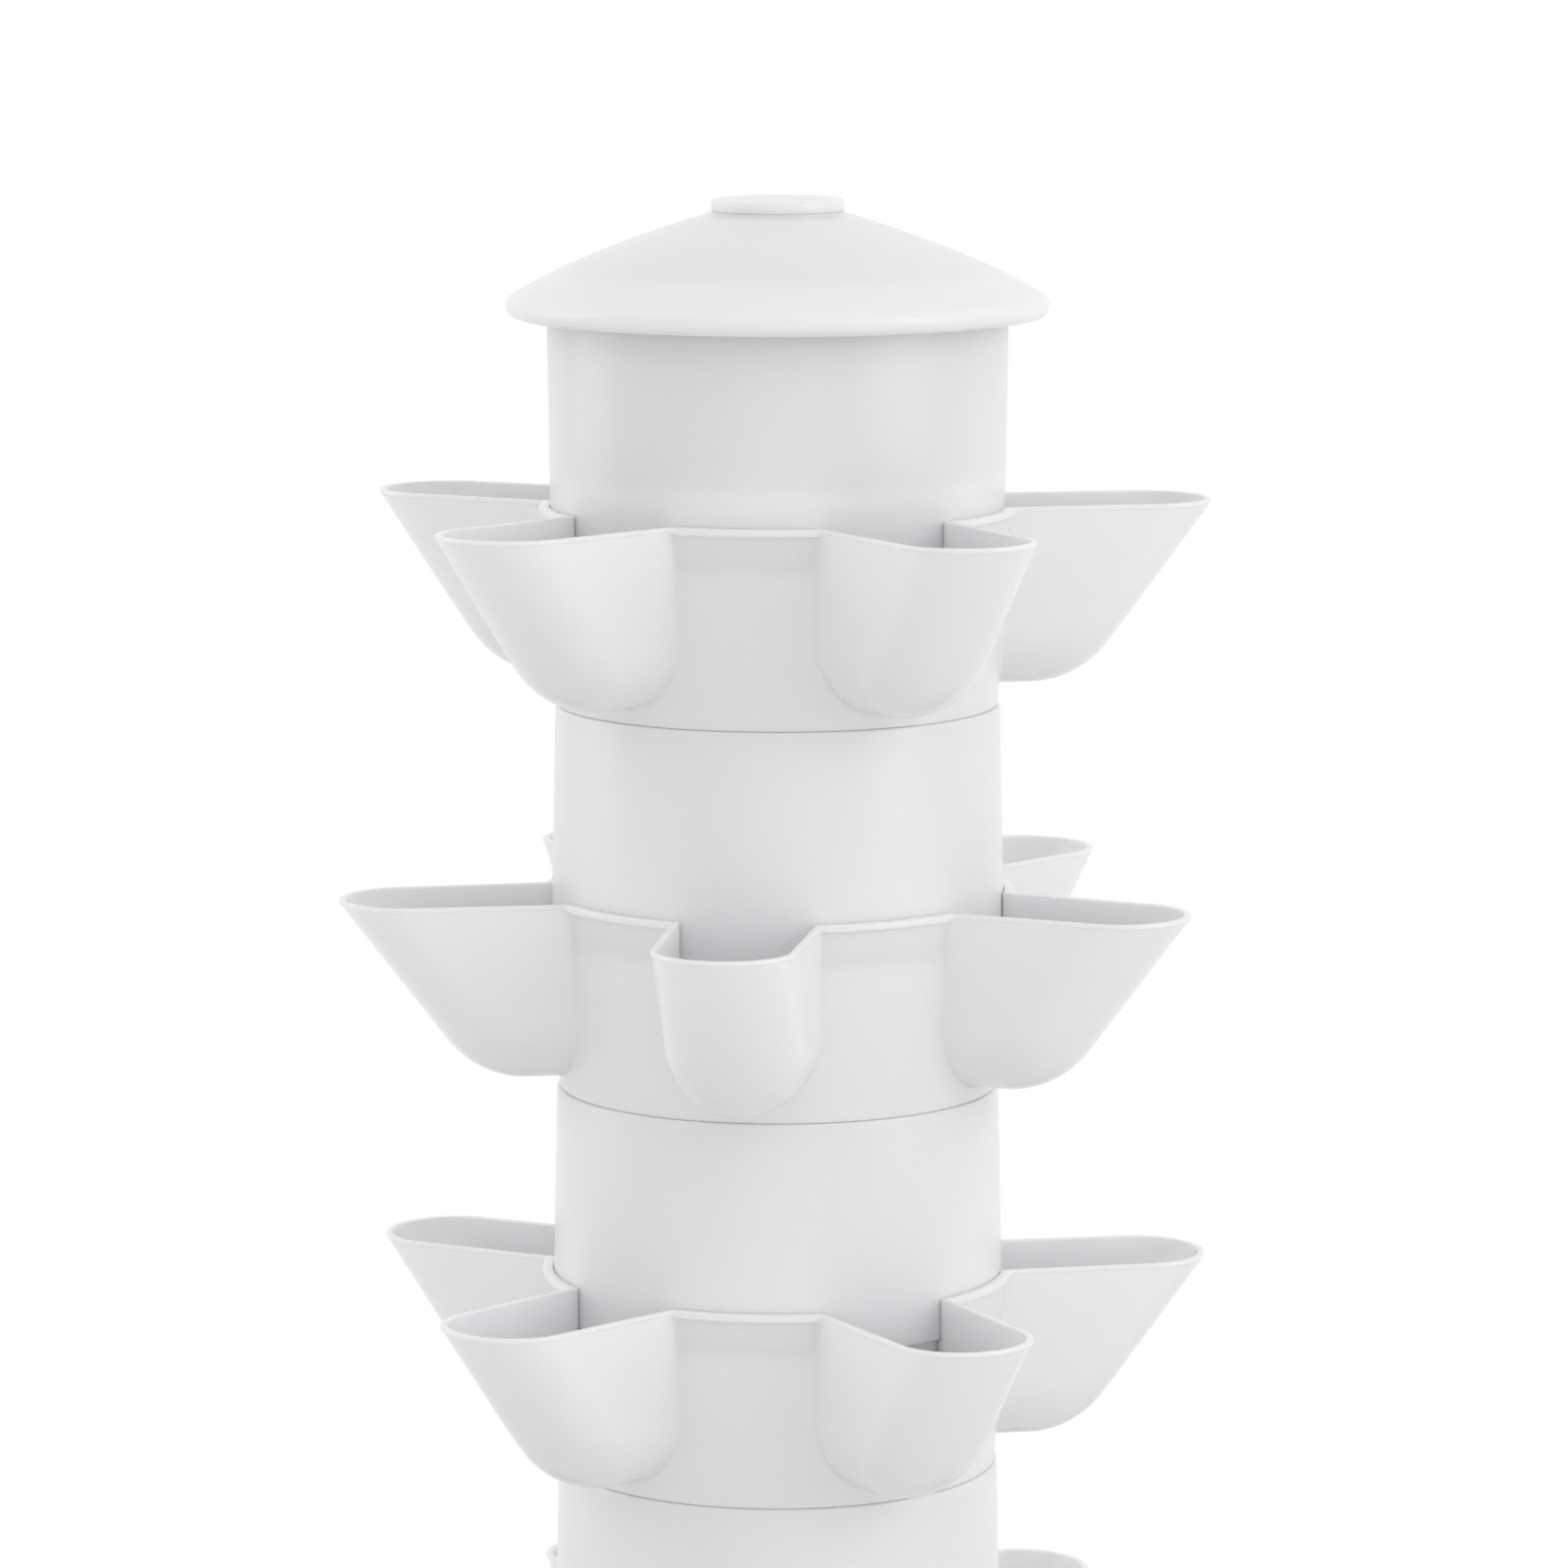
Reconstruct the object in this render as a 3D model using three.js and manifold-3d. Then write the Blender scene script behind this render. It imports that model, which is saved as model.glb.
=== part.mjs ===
// A vertical planter tower: pocket rings and drums stacked on a covered tank that holds a pump and a riser.
// Millimetres, +Z up. The origin is on the floor under the column's axis, and the front looks towards -Y.
import * as THREE from "three";
import { mergeVertices } from "three/addons/utils/BufferGeometryUtils.js";
import Module from "manifold-3d";

const wasm = await Module();
wasm.setup();

// Counts
const tierCount = 4;
const pocketCount = 5;
const windowCount = 5;
const drainHoleCount = 10;
const spraySlotCount = 6;
const grilleSlotCount = 5;
const bladeCount = 4;
const columnSides = 30;
const lidSides = 32;
const tankSides = 32;
const pipeSides = 12;
const smallSides = 8;
const hexagonSides = 6;
const drainHoleSides = 4;
const cornerSteps = 4;
const windowSteps = 3;
const domeSteps = 4;
const domeInnerSteps = 3;
const brimSteps = 5;

// Gaps
const seatGap = 0.3;
const slipGap = 0.8;
const overrun = 3;
const weldDistance = 0.0001;

// Column
const ringHeight = 75.8;
const drumShow = 71.5;
const drumSeat = 16;
const drumWall = 2.4;
const crownTopRadius = 87.4;
const drumTopInset = 2.7;
const drumFootInset = 1.6;
const drumTopRadius = crownTopRadius - drumTopInset;
const drumFootRadius = crownTopRadius - drumFootInset;
const drumRound = 1;
const ringTopOutset = 1.6;
const ringFootInset = 3.6;
const ringTopRadius = crownTopRadius + ringTopOutset;
const ringFootRadius = crownTopRadius - ringFootInset;
const ringFootBevel = 1;
const ringWall = 2.4;
const socketGap = 0.8;
const rimHeight = 3;
const rimOverhang = 1.8;
const floorThickness = 2.4;
const spigotDepth = 8;
const spigotWall = 2;
const spigotGap = 0.9;
const hubWall = 3;
const hubHeight = 14;
const windowInnerRadius = 24;
const windowOuterInset = 17.4;
const windowOuterRadius = crownTopRadius - windowOuterInset;
const spokeAngle = 20;

// Pockets
const pocketProjection = 80.2;
const pocketReach = crownTopRadius + pocketProjection;
const pocketDepth = 70;
const pocketWidth = 55.4;
const pocketNoseWidth = 52.8;
const pocketNoseLength = 24.7;
const pocketWall = 2.3;
const pocketLean = 37.2;
const pocketKeelRound = 38;
const pocketLipOverhang = 0.9;
const pocketBottomAngle = 80;
const pocketLevels = 3;
const noseSteps = 6;

// Lid and cap
const lidOverhang = 15.4;
const lidRadius = crownTopRadius + lidOverhang;
const lidRise = 38.6;
const lidTopRadius = 27;
const lidWall = 2.4;
const brimRound = 4.4;
const brimRoundAngle = 60;
const domeBendReachShare = 0.63;
const domeBendRiseShare = 0.47;
const lidSeatDepth = 3;
const lidSkirtDepth = 8;
const lidSkirtWall = 2.2;
const lidSkirtGap = 1.1;
const lidHoleRadius = 18;
const lidNeckHeight = 1.2;
const capRadius = 25.2;
const capHeight = 4.2;
const capWall = 2;
const capStemDepth = 9;
const capStemGap = 0.6;

// Riser
const riserRadius = 10;
const riserBore = 8;
const nippleWall = 1.6;
const nippleLength = 30;
const riserTopAboveRim = 34;
const socketWall = 2.6;
const socketReach = 14;

// Spreader dish
const ledgeAboveRim = 14;
const ledgeReach = 6;
const ledgeThickness = 3;
const spreaderWall = 2;
const spreaderHeight = 12;
const spreaderHubWall = 2.6;
const spreaderHubHeight = 22;
const drainHoleRadius = 2.6;
const drainCircleInset = 29.4;
const drainCircleRadius = crownTopRadius - drainCircleInset;
const sprayCapWall = 2;
const sprayCapHeight = 34;
const spraySlotWidth = 5;
const spraySlotHeight = 8;

// Tank
const tankBaseRadius = 150;
const tankTopRadius = 178;
const tankHeight = 190;
const tankWall = 3;
const tankFootHeight = 4;
const tankFootWidth = 14;
const tankFlangeReach = 6;
const tankFlangeThickness = 4;

// Tank cover
const coverThickness = 3;
const coverSkirtDepth = 12;
const coverSkirtWall = 2.6;
const coverSkirtGap = 1;
const coverEdgeBevel = 1.5;
const collarHeight = 42;
const collarFootInset = 1.4;
const collarFootRadius = crownTopRadius - collarFootInset;
const shoulderMiddle = (collarFootRadius + tankTopRadius) / 2;
const portShare = 0.2174;
const portRadius = (tankTopRadius - collarFootRadius) * portShare;
const portAzimuth = 60;
const portRimWall = 3;
const portRimHeight = 5;
const flapOverlap = 2.5;
const flapThickness = 3;
const flapPlugDepth = 4;
const flapBarrelRadius = 3;
const flapBarrelLength = 16;
const flapEarLength = 5;
const flapEarGap = 0.4;
const flapPinRadius = 1.3;
const flapPinGap = 0.3;
const flapTabReach = 7;
const flapTabWidth = 14;
const grommetRadius = 9;
const grommetFlange = 2.6;
const grommetFlangeThickness = 2;
const grommetBore = 3.4;

// Pump
const footRadius = 6.5;
const footNeckRadius = 3.2;
const footHeight = 6;
const footLipThickness = 1.6;
const housingWidth = 46;
const housingLength = 52;
const housingHeight = 40;
const housingFront = 12;
const housingCorner = 5;
const chamberRadius = 14.5;
const chamberDepth = 17;
const magnetBoreRadius = 8.4;
const magnetBoreDepth = 26;
const outletRadius = 7;
const outletBore = 4.6;
const outletHeight = 14;
const shaftRadius = 1.2;
const shaftGap = 0.4;
const shaftSeatDepth = 3;
const magnetRadius = 7.4;
const magnetLength = 22;
const rotorGap = 1;
const rotorDiscThickness = 2;
const bladeHeight = 5;
const bladeThickness = 1.6;
const rotorReach = 12.5;
const inletLength = 9;
const inletWall = 2.4;
const grilleSlotWidth = 2.4;
const grilleSlotHeight = 22;
const grilleSlotPitch = 6;

// Drain tap
const tapHeight = 32;
const tapBossRadius = 15;
const tapBossReach = 5;
const tapBarrelRadius = 7;
const tapHoleGap = 0.4;
const tapBore = 3.6;
const washerRadius = 12.5;
const washerThickness = 2;
const tapFlangeRadius = 12;
const tapFlangeThickness = 3;
const tapValveRadius = 9;
const tapValveDistance = 13;
const tapValveHeight = 20;
const spoutRadius = 6;
const spoutDrop = 14;
const tapNutRadius = 13;
const tapNutThickness = 7;
const tapStemRadius = 3.6;
const tapStemDepth = 5;
const leverLength = 26;
const leverWidth = 9;
const leverThickness = 4;

// Finishes
function finish(color, roughness, metalness = 0) {
  return new THREE.MeshStandardMaterial({ color, roughness, metalness });
}
const white = () => finish(0xe9e9ec, 0.45);
const tankWhite = () => finish(0xe4e5e8, 0.5);
const pipeGrey = () => finish(0xd5d7da, 0.5);
const pumpBlack = () => finish(0x26282b, 0.55);
const magnetGrey = () => finish(0x3d3f42, 0.4);
const ceramic = () => finish(0xf2efe8, 0.3);
const rubber = () => finish(0x2c2c2e, 0.85);
const steel = () => finish(0xb9bcc0, 0.35, 1);

// Solids: closed three.js geometries joined and cut
function solid(geometry) {
  const plain = geometry.clone();
  plain.deleteAttribute("normal");
  plain.deleteAttribute("uv");
  const merged = mergeVertices(plain, weldDistance);
  const index = merged.index.array;
  const kept = [];
  for (let i = 0; i < index.length; i += 3) {
    const [a, b, c] = [index[i], index[i + 1], index[i + 2]];
    if (a !== b && b !== c && c !== a) kept.push(a, b, c);
  }
  return new wasm.Manifold(
    new wasm.Mesh({
      numProp: 3,
      vertProperties: new Float32Array(merged.attributes.position.array),
      triVerts: new Uint32Array(kept),
    }),
  );
}

function joined(solids) {
  return solids.reduce((whole, next) => whole.add(next));
}

function cut(body, tools) {
  return tools.reduce((rest, tool) => rest.subtract(tool), body);
}

function piece(name, body, material, sink) {
  const mesh = body.getMesh();
  const geometry = new THREE.BufferGeometry();
  geometry.setAttribute("position", new THREE.BufferAttribute(mesh.vertProperties, 3));
  geometry.setIndex(new THREE.BufferAttribute(mesh.triVerts, 1));
  const flat = geometry.toNonIndexed();
  flat.computeVertexNormals();
  const made = new THREE.Mesh(flat, material);
  made.name = name;
  sink.add(made);
  return made;
}

// A solid of revolution about Z from [radius, height] points, in either order round the outline
function turned(outline, sides) {
  const closed = outline[0][0] > 0 ? [...outline, outline[0]] : outline;
  let area = 0;
  closed.forEach(([r, z], i) => {
    const [nextR, nextZ] = closed[(i + 1) % closed.length];
    area += r * nextZ - nextR * z;
  });
  const ordered = area > 0 ? closed : [...closed].reverse();
  const points = ordered.map(([r, z]) => new THREE.Vector2(r, z));
  return new THREE.LatheGeometry(points, sides).rotateX(Math.PI / 2);
}

function tube(outer, inner, low, high, sides) {
  return turned([[inner, low], [outer, low], [outer, high], [inner, high]], sides);
}

function rod(radius, low, high, sides) {
  return turned([[0, low], [radius, low], [radius, high], [0, high]], sides);
}

function block(x0, x1, y0, y1, z0, z1) {
  const box = new THREE.BoxGeometry(x1 - x0, y1 - y0, z1 - z0);
  return box.translate((x0 + x1) / 2, (y0 + y1) / 2, (z0 + z1) / 2);
}

function roundedBlock(width, depth, height, corner) {
  const shape = new THREE.Shape();
  const [w, d] = [width / 2, depth / 2];
  shape.absarc(w - corner, d - corner, corner, 0, Math.PI / 2);
  shape.absarc(corner - w, d - corner, corner, Math.PI / 2, Math.PI);
  shape.absarc(corner - w, corner - d, corner, Math.PI, Math.PI * 1.5);
  shape.absarc(w - corner, corner - d, corner, Math.PI * 1.5, Math.PI * 2);
  const extrusion = { depth: height, bevelEnabled: false, curveSegments: cornerSteps };
  return new THREE.ExtrudeGeometry(shape, extrusion);
}

// A sector of a ring between two radii, standing on a height and centred on +X
function sector(inner, outer, angle, low, high) {
  const half = THREE.MathUtils.degToRad(angle / 2);
  const shape = new THREE.Shape();
  shape.absarc(0, 0, outer, -half, half);
  shape.absarc(0, 0, inner, half, -half, true);
  const extrusion = { depth: high - low, bevelEnabled: false, curveSegments: windowSteps };
  return new THREE.ExtrudeGeometry(shape, extrusion).translate(0, 0, low);
}

// A closed solid through a stack of level outlines that all have the same number of points
function lofted(levels) {
  const count = levels[0].length;
  const position = levels.flat(2);
  const index = [];
  for (let level = 0; level + 1 < levels.length; level++) {
    for (let i = 0; i < count; i++) {
      const j = (i + 1) % count;
      const [a, b] = [level * count + i, level * count + j];
      const [c, d] = [a + count, b + count];
      index.push(a, b, d, a, d, c);
    }
  }
  const last = (levels.length - 1) * count;
  for (let i = 1; i + 1 < count; i++) {
    index.push(0, i + 1, i, last, last + i, last + i + 1);
  }
  const geometry = new THREE.BufferGeometry();
  geometry.setAttribute("position", new THREE.Float32BufferAttribute(position, 3));
  geometry.setIndex(index);
  return geometry;
}

function around(count, make) {
  return Array.from({ length: count }, (_, i) => make((i * 2 * Math.PI) / count));
}

const radians = THREE.MathUtils.degToRad;
const towardsFront = -Math.PI / 2;

// Levels of the stack, measured from the floor
const tankFloorTop = tankFootHeight + tankWall;
const coverLow = tankHeight + seatGap;
const coverTop = coverLow + coverThickness;
const collarTop = coverTop + collarHeight;
const tierPitch = ringHeight + drumShow;
const drumLow = ringHeight - drumSeat;
const seamLevel = (tier) => collarTop + seatGap + (tier - 1) * tierPitch;
const brimLevel = seamLevel(tierCount) + tierPitch;

// Pocket rings

// The keel's distance from the axis at a depth: upright under the rim, leaning in, then rounding
function keelReach(depth, inset) {
  const lean = Math.tan(radians(pocketLean));
  const start = pocketReach + rimHeight * lean - inset / Math.cos(radians(pocketLean));
  const round = pocketKeelRound - inset;
  const floorDepth = pocketDepth - inset;
  const centreDepth = floorDepth - round;
  const touchDepth = centreDepth + round * Math.sin(radians(pocketLean));
  if (depth <= touchDepth) return Math.min(pocketReach - inset, start - depth * lean);
  const centreReach = start - touchDepth * lean - round * Math.cos(radians(pocketLean));
  const drop = Math.min(1, (depth - centreDepth) / round);
  return centreReach + round * Math.sqrt(1 - drop * drop);
}

// One level outline of a pocket: its root, two sides and a half-elliptic nose towards +X
function pocketLevel(root, reach, rootHalf, noseHalf, noseLength, height) {
  const outline = [[root, -rootHalf, height]];
  for (let i = 0; i <= noseSteps; i++) {
    const turn = (i / noseSteps - 0.5) * Math.PI;
    outline.push([
      reach - noseLength + noseLength * Math.cos(turn),
      noseHalf * Math.sin(turn),
      height,
    ]);
  }
  outline.push([root, rootHalf, height]);
  return outline;
}

// The levels of a pocket from its bottom up to the depths under and at the rim
function pocketLevelsUpTo(topDepths, inset, root) {
  const rootHalf = pocketWidth / 2 - inset;
  const noseHalf = pocketNoseWidth / 2 - inset;
  const straight = pocketDepth - pocketWidth / 2;
  const bottomSine = Math.sin(radians(pocketBottomAngle));
  const level = (depth, turn) =>
    pocketLevel(
      root,
      keelReach(depth, inset),
      rootHalf * Math.cos(turn),
      noseHalf * Math.cos(turn),
      (pocketNoseLength - inset) * Math.cos(turn),
      ringHeight - depth,
    );
  const levels = topDepths.map((depth) => level(depth, 0));
  for (let i = 0; i <= pocketLevels; i++) {
    const turn = radians((pocketBottomAngle * i) / pocketLevels);
    levels.unshift(level(straight + (rootHalf * Math.sin(turn)) / bottomSine, turn));
  }
  return levels;
}

function pocketShell(root) {
  const lip = [rimHeight, 0].map((depth) =>
    pocketLevel(
      root,
      keelReach(0, 0) + pocketLipOverhang,
      pocketWidth / 2 + pocketLipOverhang,
      pocketNoseWidth / 2 + pocketLipOverhang,
      pocketNoseLength + pocketLipOverhang,
      ringHeight - depth,
    ),
  );
  return lofted([...pocketLevelsUpTo([rimHeight], 0, root), ...lip]);
}

function pocketHollow(root) {
  const levels = pocketLevelsUpTo([rimHeight, 0], pocketWall, root);
  const mouth = levels[levels.length - 1].map(([x, y, z]) => [x, y, z + overrun]);
  return lofted([...levels, mouth]);
}

function ringRadiusAt(height) {
  const share = Math.max(0, height) / ringHeight;
  return ringFootRadius + (ringTopRadius - ringFootRadius) * share;
}

function ringBody() {
  const socketRadius = drumFootRadius + socketGap;
  const spigotRadius = drumTopRadius - drumWall - spigotGap;
  const boreRadius = riserRadius + slipGap;
  const hubRadius = boreRadius + hubWall;
  const ledge = drumLow - seatGap;
  const lipLow = ringHeight - rimHeight;
  const wall = turned(
    [
      [0, -spigotDepth],
      [spigotRadius, -spigotDepth],
      [spigotRadius, 0],
      [ringFootRadius - ringFootBevel, 0],
      [ringFootRadius, ringFootBevel],
      [ringRadiusAt(lipLow), lipLow],
      [ringTopRadius + rimOverhang, lipLow],
      [ringTopRadius + rimOverhang, ringHeight],
      [0, ringHeight],
    ],
    columnSides,
  );
  const column = turned(
    [
      [0, hubHeight],
      [hubRadius, hubHeight],
      [hubRadius, floorThickness],
      [ringRadiusAt(floorThickness) - ringWall, floorThickness],
      [ringRadiusAt(ledge) - ringWall - socketGap, ledge],
      [socketRadius, ledge],
      [socketRadius, ringHeight + overrun],
      [0, ringHeight + overrun],
    ],
    columnSides,
  );
  const underside = tube(spigotRadius - spigotWall, hubRadius, -spigotDepth - overrun, 0, columnSides);
  const bore = rod(boreRadius, -spigotDepth - overrun, hubHeight + overrun, pipeSides);
  const windowAngle = 360 / windowCount - spokeAngle;
  const floorWindow = sector(
    windowInnerRadius,
    windowOuterRadius,
    windowAngle,
    -overrun,
    floorThickness + overrun,
  );
  const root = ringFootRadius - ringWall - overrun;
  const shells = around(pocketCount, (turn) => solid(pocketShell(root).rotateZ(turn + towardsFront)));
  const hollows = around(pocketCount, (turn) =>
    solid(pocketHollow(windowOuterRadius).rotateZ(turn + towardsFront)),
  );
  const windows = around(windowCount, (turn) => solid(floorWindow.clone().rotateZ(turn + towardsFront)));
  const outside = joined([solid(wall), ...shells]);
  return cut(outside, [solid(column), solid(underside), solid(bore), ...windows, ...hollows]);
}

// Drums

function drumOutline(topRadius, height, extra) {
  const inner = (z) => drumFootRadius + ((topRadius - drumFootRadius) * z) / height - drumWall;
  return [
    [drumFootRadius, 0],
    [topRadius, height - drumRound],
    [topRadius - drumRound, height],
    [topRadius - drumWall, height],
    ...extra(inner),
    [drumFootRadius - drumWall, 0],
  ];
}

function drumBody() {
  const height = tierPitch - drumLow - seatGap;
  return solid(turned(drumOutline(drumTopRadius, height, () => []), columnSides));
}

function crownBody() {
  const height = tierPitch - drumLow + lidSeatDepth - seatGap;
  const ledgeTop = drumSeat + ledgeAboveRim;
  const ledge = (inner) => [
    [inner(ledgeTop), ledgeTop],
    [inner(ledgeTop) - ledgeReach, ledgeTop],
    [inner(ledgeTop) - ledgeReach, ledgeTop - ledgeThickness],
    [inner(ledgeTop), ledgeTop - ledgeThickness - ledgeReach],
  ];
  return solid(turned(drumOutline(crownTopRadius, height, ledge), columnSides));
}

// Spreader dish and spray cap

const spreaderRadius = drumFootRadius - drumWall - slipGap;
const spreaderHubRadius = riserRadius + slipGap + spreaderHubWall;

function spreaderBody() {
  const dish = turned(
    [
      [riserRadius + slipGap, 0],
      [spreaderRadius, 0],
      [spreaderRadius, spreaderHeight],
      [spreaderRadius - spreaderWall, spreaderHeight],
      [spreaderRadius - spreaderWall, spreaderWall],
      [spreaderHubRadius, spreaderWall],
      [spreaderHubRadius, spreaderHubHeight],
      [riserRadius + slipGap, spreaderHubHeight],
    ],
    columnSides,
  );
  const hole = rod(drainHoleRadius, -overrun, spreaderWall + overrun, drainHoleSides);
  const holes = around(drainHoleCount, (turn) =>
    solid(hole.clone().translate(drainCircleRadius, 0, 0).rotateZ(turn)),
  );
  return cut(solid(dish), holes);
}

function sprayCapBody() {
  const inner = spreaderHubRadius + slipGap;
  const outer = inner + sprayCapWall;
  const top = spreaderWall + seatGap + sprayCapHeight;
  const shell = turned(
    [
      [inner, spreaderWall + seatGap],
      [outer, spreaderWall + seatGap],
      [outer, top - sprayCapWall],
      [outer - sprayCapWall, top],
      [0, top],
      [0, top - sprayCapWall],
      [inner, top - sprayCapWall],
    ].reverse(),
    pipeSides,
  );
  const slotLow = spreaderHubHeight;
  const slotHalf = spraySlotWidth / 2;
  const slot = block(0, outer + overrun, -slotHalf, slotHalf, slotLow, slotLow + spraySlotHeight);
  const slots = around(spraySlotCount, (turn) => solid(slot.clone().rotateZ(turn)));
  return cut(solid(shell), slots);
}

// Lid and cap

function domeOutline(inset, steps) {
  const endAngle = radians(brimRoundAngle);
  const endRadius = lidRadius - brimRound + brimRound * Math.cos(endAngle);
  const endHeight = brimRound + brimRound * Math.sin(endAngle);
  const bend = new THREE.QuadraticBezierCurve(
    new THREE.Vector2(lidTopRadius, lidRise),
    new THREE.Vector2(
      lidTopRadius + (endRadius - lidTopRadius) * domeBendReachShare,
      endHeight + (lidRise - endHeight) * (1 - domeBendRiseShare),
    ),
    new THREE.Vector2(endRadius, endHeight),
  );
  return Array.from({ length: steps + 1 }, (_, i) => {
    const point = bend.getPoint(i / steps);
    const along = bend.getTangent(i / steps);
    return [point.x + along.y * inset, point.y - along.x * inset];
  });
}

function heightOn(outline, radius) {
  const i = outline.findIndex(([r]) => r >= radius);
  const [[r0, z0], [r1, z1]] = [outline[i - 1], outline[i]];
  return z0 + ((z1 - z0) * (radius - r0)) / (r1 - r0);
}

function lidBody() {
  const outside = domeOutline(0, domeSteps);
  const inside = domeOutline(lidWall, domeInnerSteps);
  const skirtOuter = crownTopRadius - drumWall - lidSkirtGap;
  const skirtInner = skirtOuter - lidSkirtWall;
  const seatOuter = crownTopRadius + lidSkirtGap;
  const brimCentre = lidRadius - brimRound;
  const brim = [];
  for (let i = 1; i <= brimSteps; i++) {
    const angle = radians(brimRoundAngle - ((brimRoundAngle + 90) * i) / brimSteps);
    brim.push([brimCentre + brimRound * Math.cos(angle), brimRound + brimRound * Math.sin(angle)]);
  }
  const underBrim = inside.filter(([r]) => r > seatOuter + lidWall).reverse();
  const underCone = inside.filter(([r]) => r < skirtInner - lidWall).reverse();
  const neckTop = lidRise + lidNeckHeight;
  const outline = [
    [lidHoleRadius, neckTop],
    [capRadius, neckTop],
    [capRadius, lidRise],
    ...outside,
    ...brim,
    [brimCentre - lidWall, 0],
    ...underBrim.slice(1),
    [seatOuter, heightOn(inside, seatOuter)],
    [seatOuter, lidSeatDepth],
    [skirtOuter, lidSeatDepth],
    [skirtOuter, -lidSkirtDepth],
    [skirtInner, -lidSkirtDepth],
    [skirtInner, heightOn(inside, skirtInner)],
    ...underCone,
    [lidHoleRadius, lidRise - lidWall],
  ];
  return solid(turned(outline, lidSides));
}

function capBody() {
  const stem = lidHoleRadius - capStemGap;
  const outline = [
    [0, seatGap + capHeight],
    [capRadius - drumRound, seatGap + capHeight],
    [capRadius, seatGap + capHeight - drumRound],
    [capRadius, seatGap],
    [stem, seatGap],
    [stem, -capStemDepth],
    [stem - capWall, -capStemDepth],
    [stem - capWall, seatGap],
    [0, seatGap],
  ];
  return solid(turned(outline, tankSides));
}

// Riser

const riserFoot = tankFloorTop + footHeight + seatGap * 2 + housingHeight + outletHeight + seatGap;
const riserTop = seamLevel(tierCount) + ringHeight + riserTopAboveRim;

function riserLevels() {
  const joints = Array.from({ length: tierCount }, (_, i) => seamLevel(i + 1));
  return [riserFoot, ...joints, riserTop];
}

function addRiser(sink) {
  const levels = riserLevels();
  for (let i = 0; i + 1 < levels.length; i++) {
    const high = levels[i + 1] - levels[i] - seatGap;
    const pipe = solid(tube(riserRadius, riserBore, 0, high, pipeSides));
    piece("riser_pipe_" + (i + 1), pipe, pipeGrey(), sink).position.z = levels[i];
    if (i > 0) {
      const outer = riserBore - seatGap;
      const half = nippleLength / 2;
      const nipple = solid(tube(outer, outer - nippleWall, -half, half, pipeSides));
      piece("riser_nipple_" + i, nipple, pipeGrey(), sink).position.z = levels[i];
    }
  }
  const outer = riserRadius + seatGap + socketWall;
  const socket = turned(
    [
      [outletRadius + seatGap, -outletHeight],
      [outer, -outletHeight],
      [outer, socketReach],
      [riserRadius + seatGap, socketReach],
      [riserRadius + seatGap, -seatGap],
      [outletRadius + seatGap, -seatGap],
    ],
    pipeSides,
  );
  piece("riser_socket", solid(socket), pumpBlack(), sink).position.z = riserFoot;
}

// Pump, with its outlet on the column's axis and its inlet towards -Y

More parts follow.
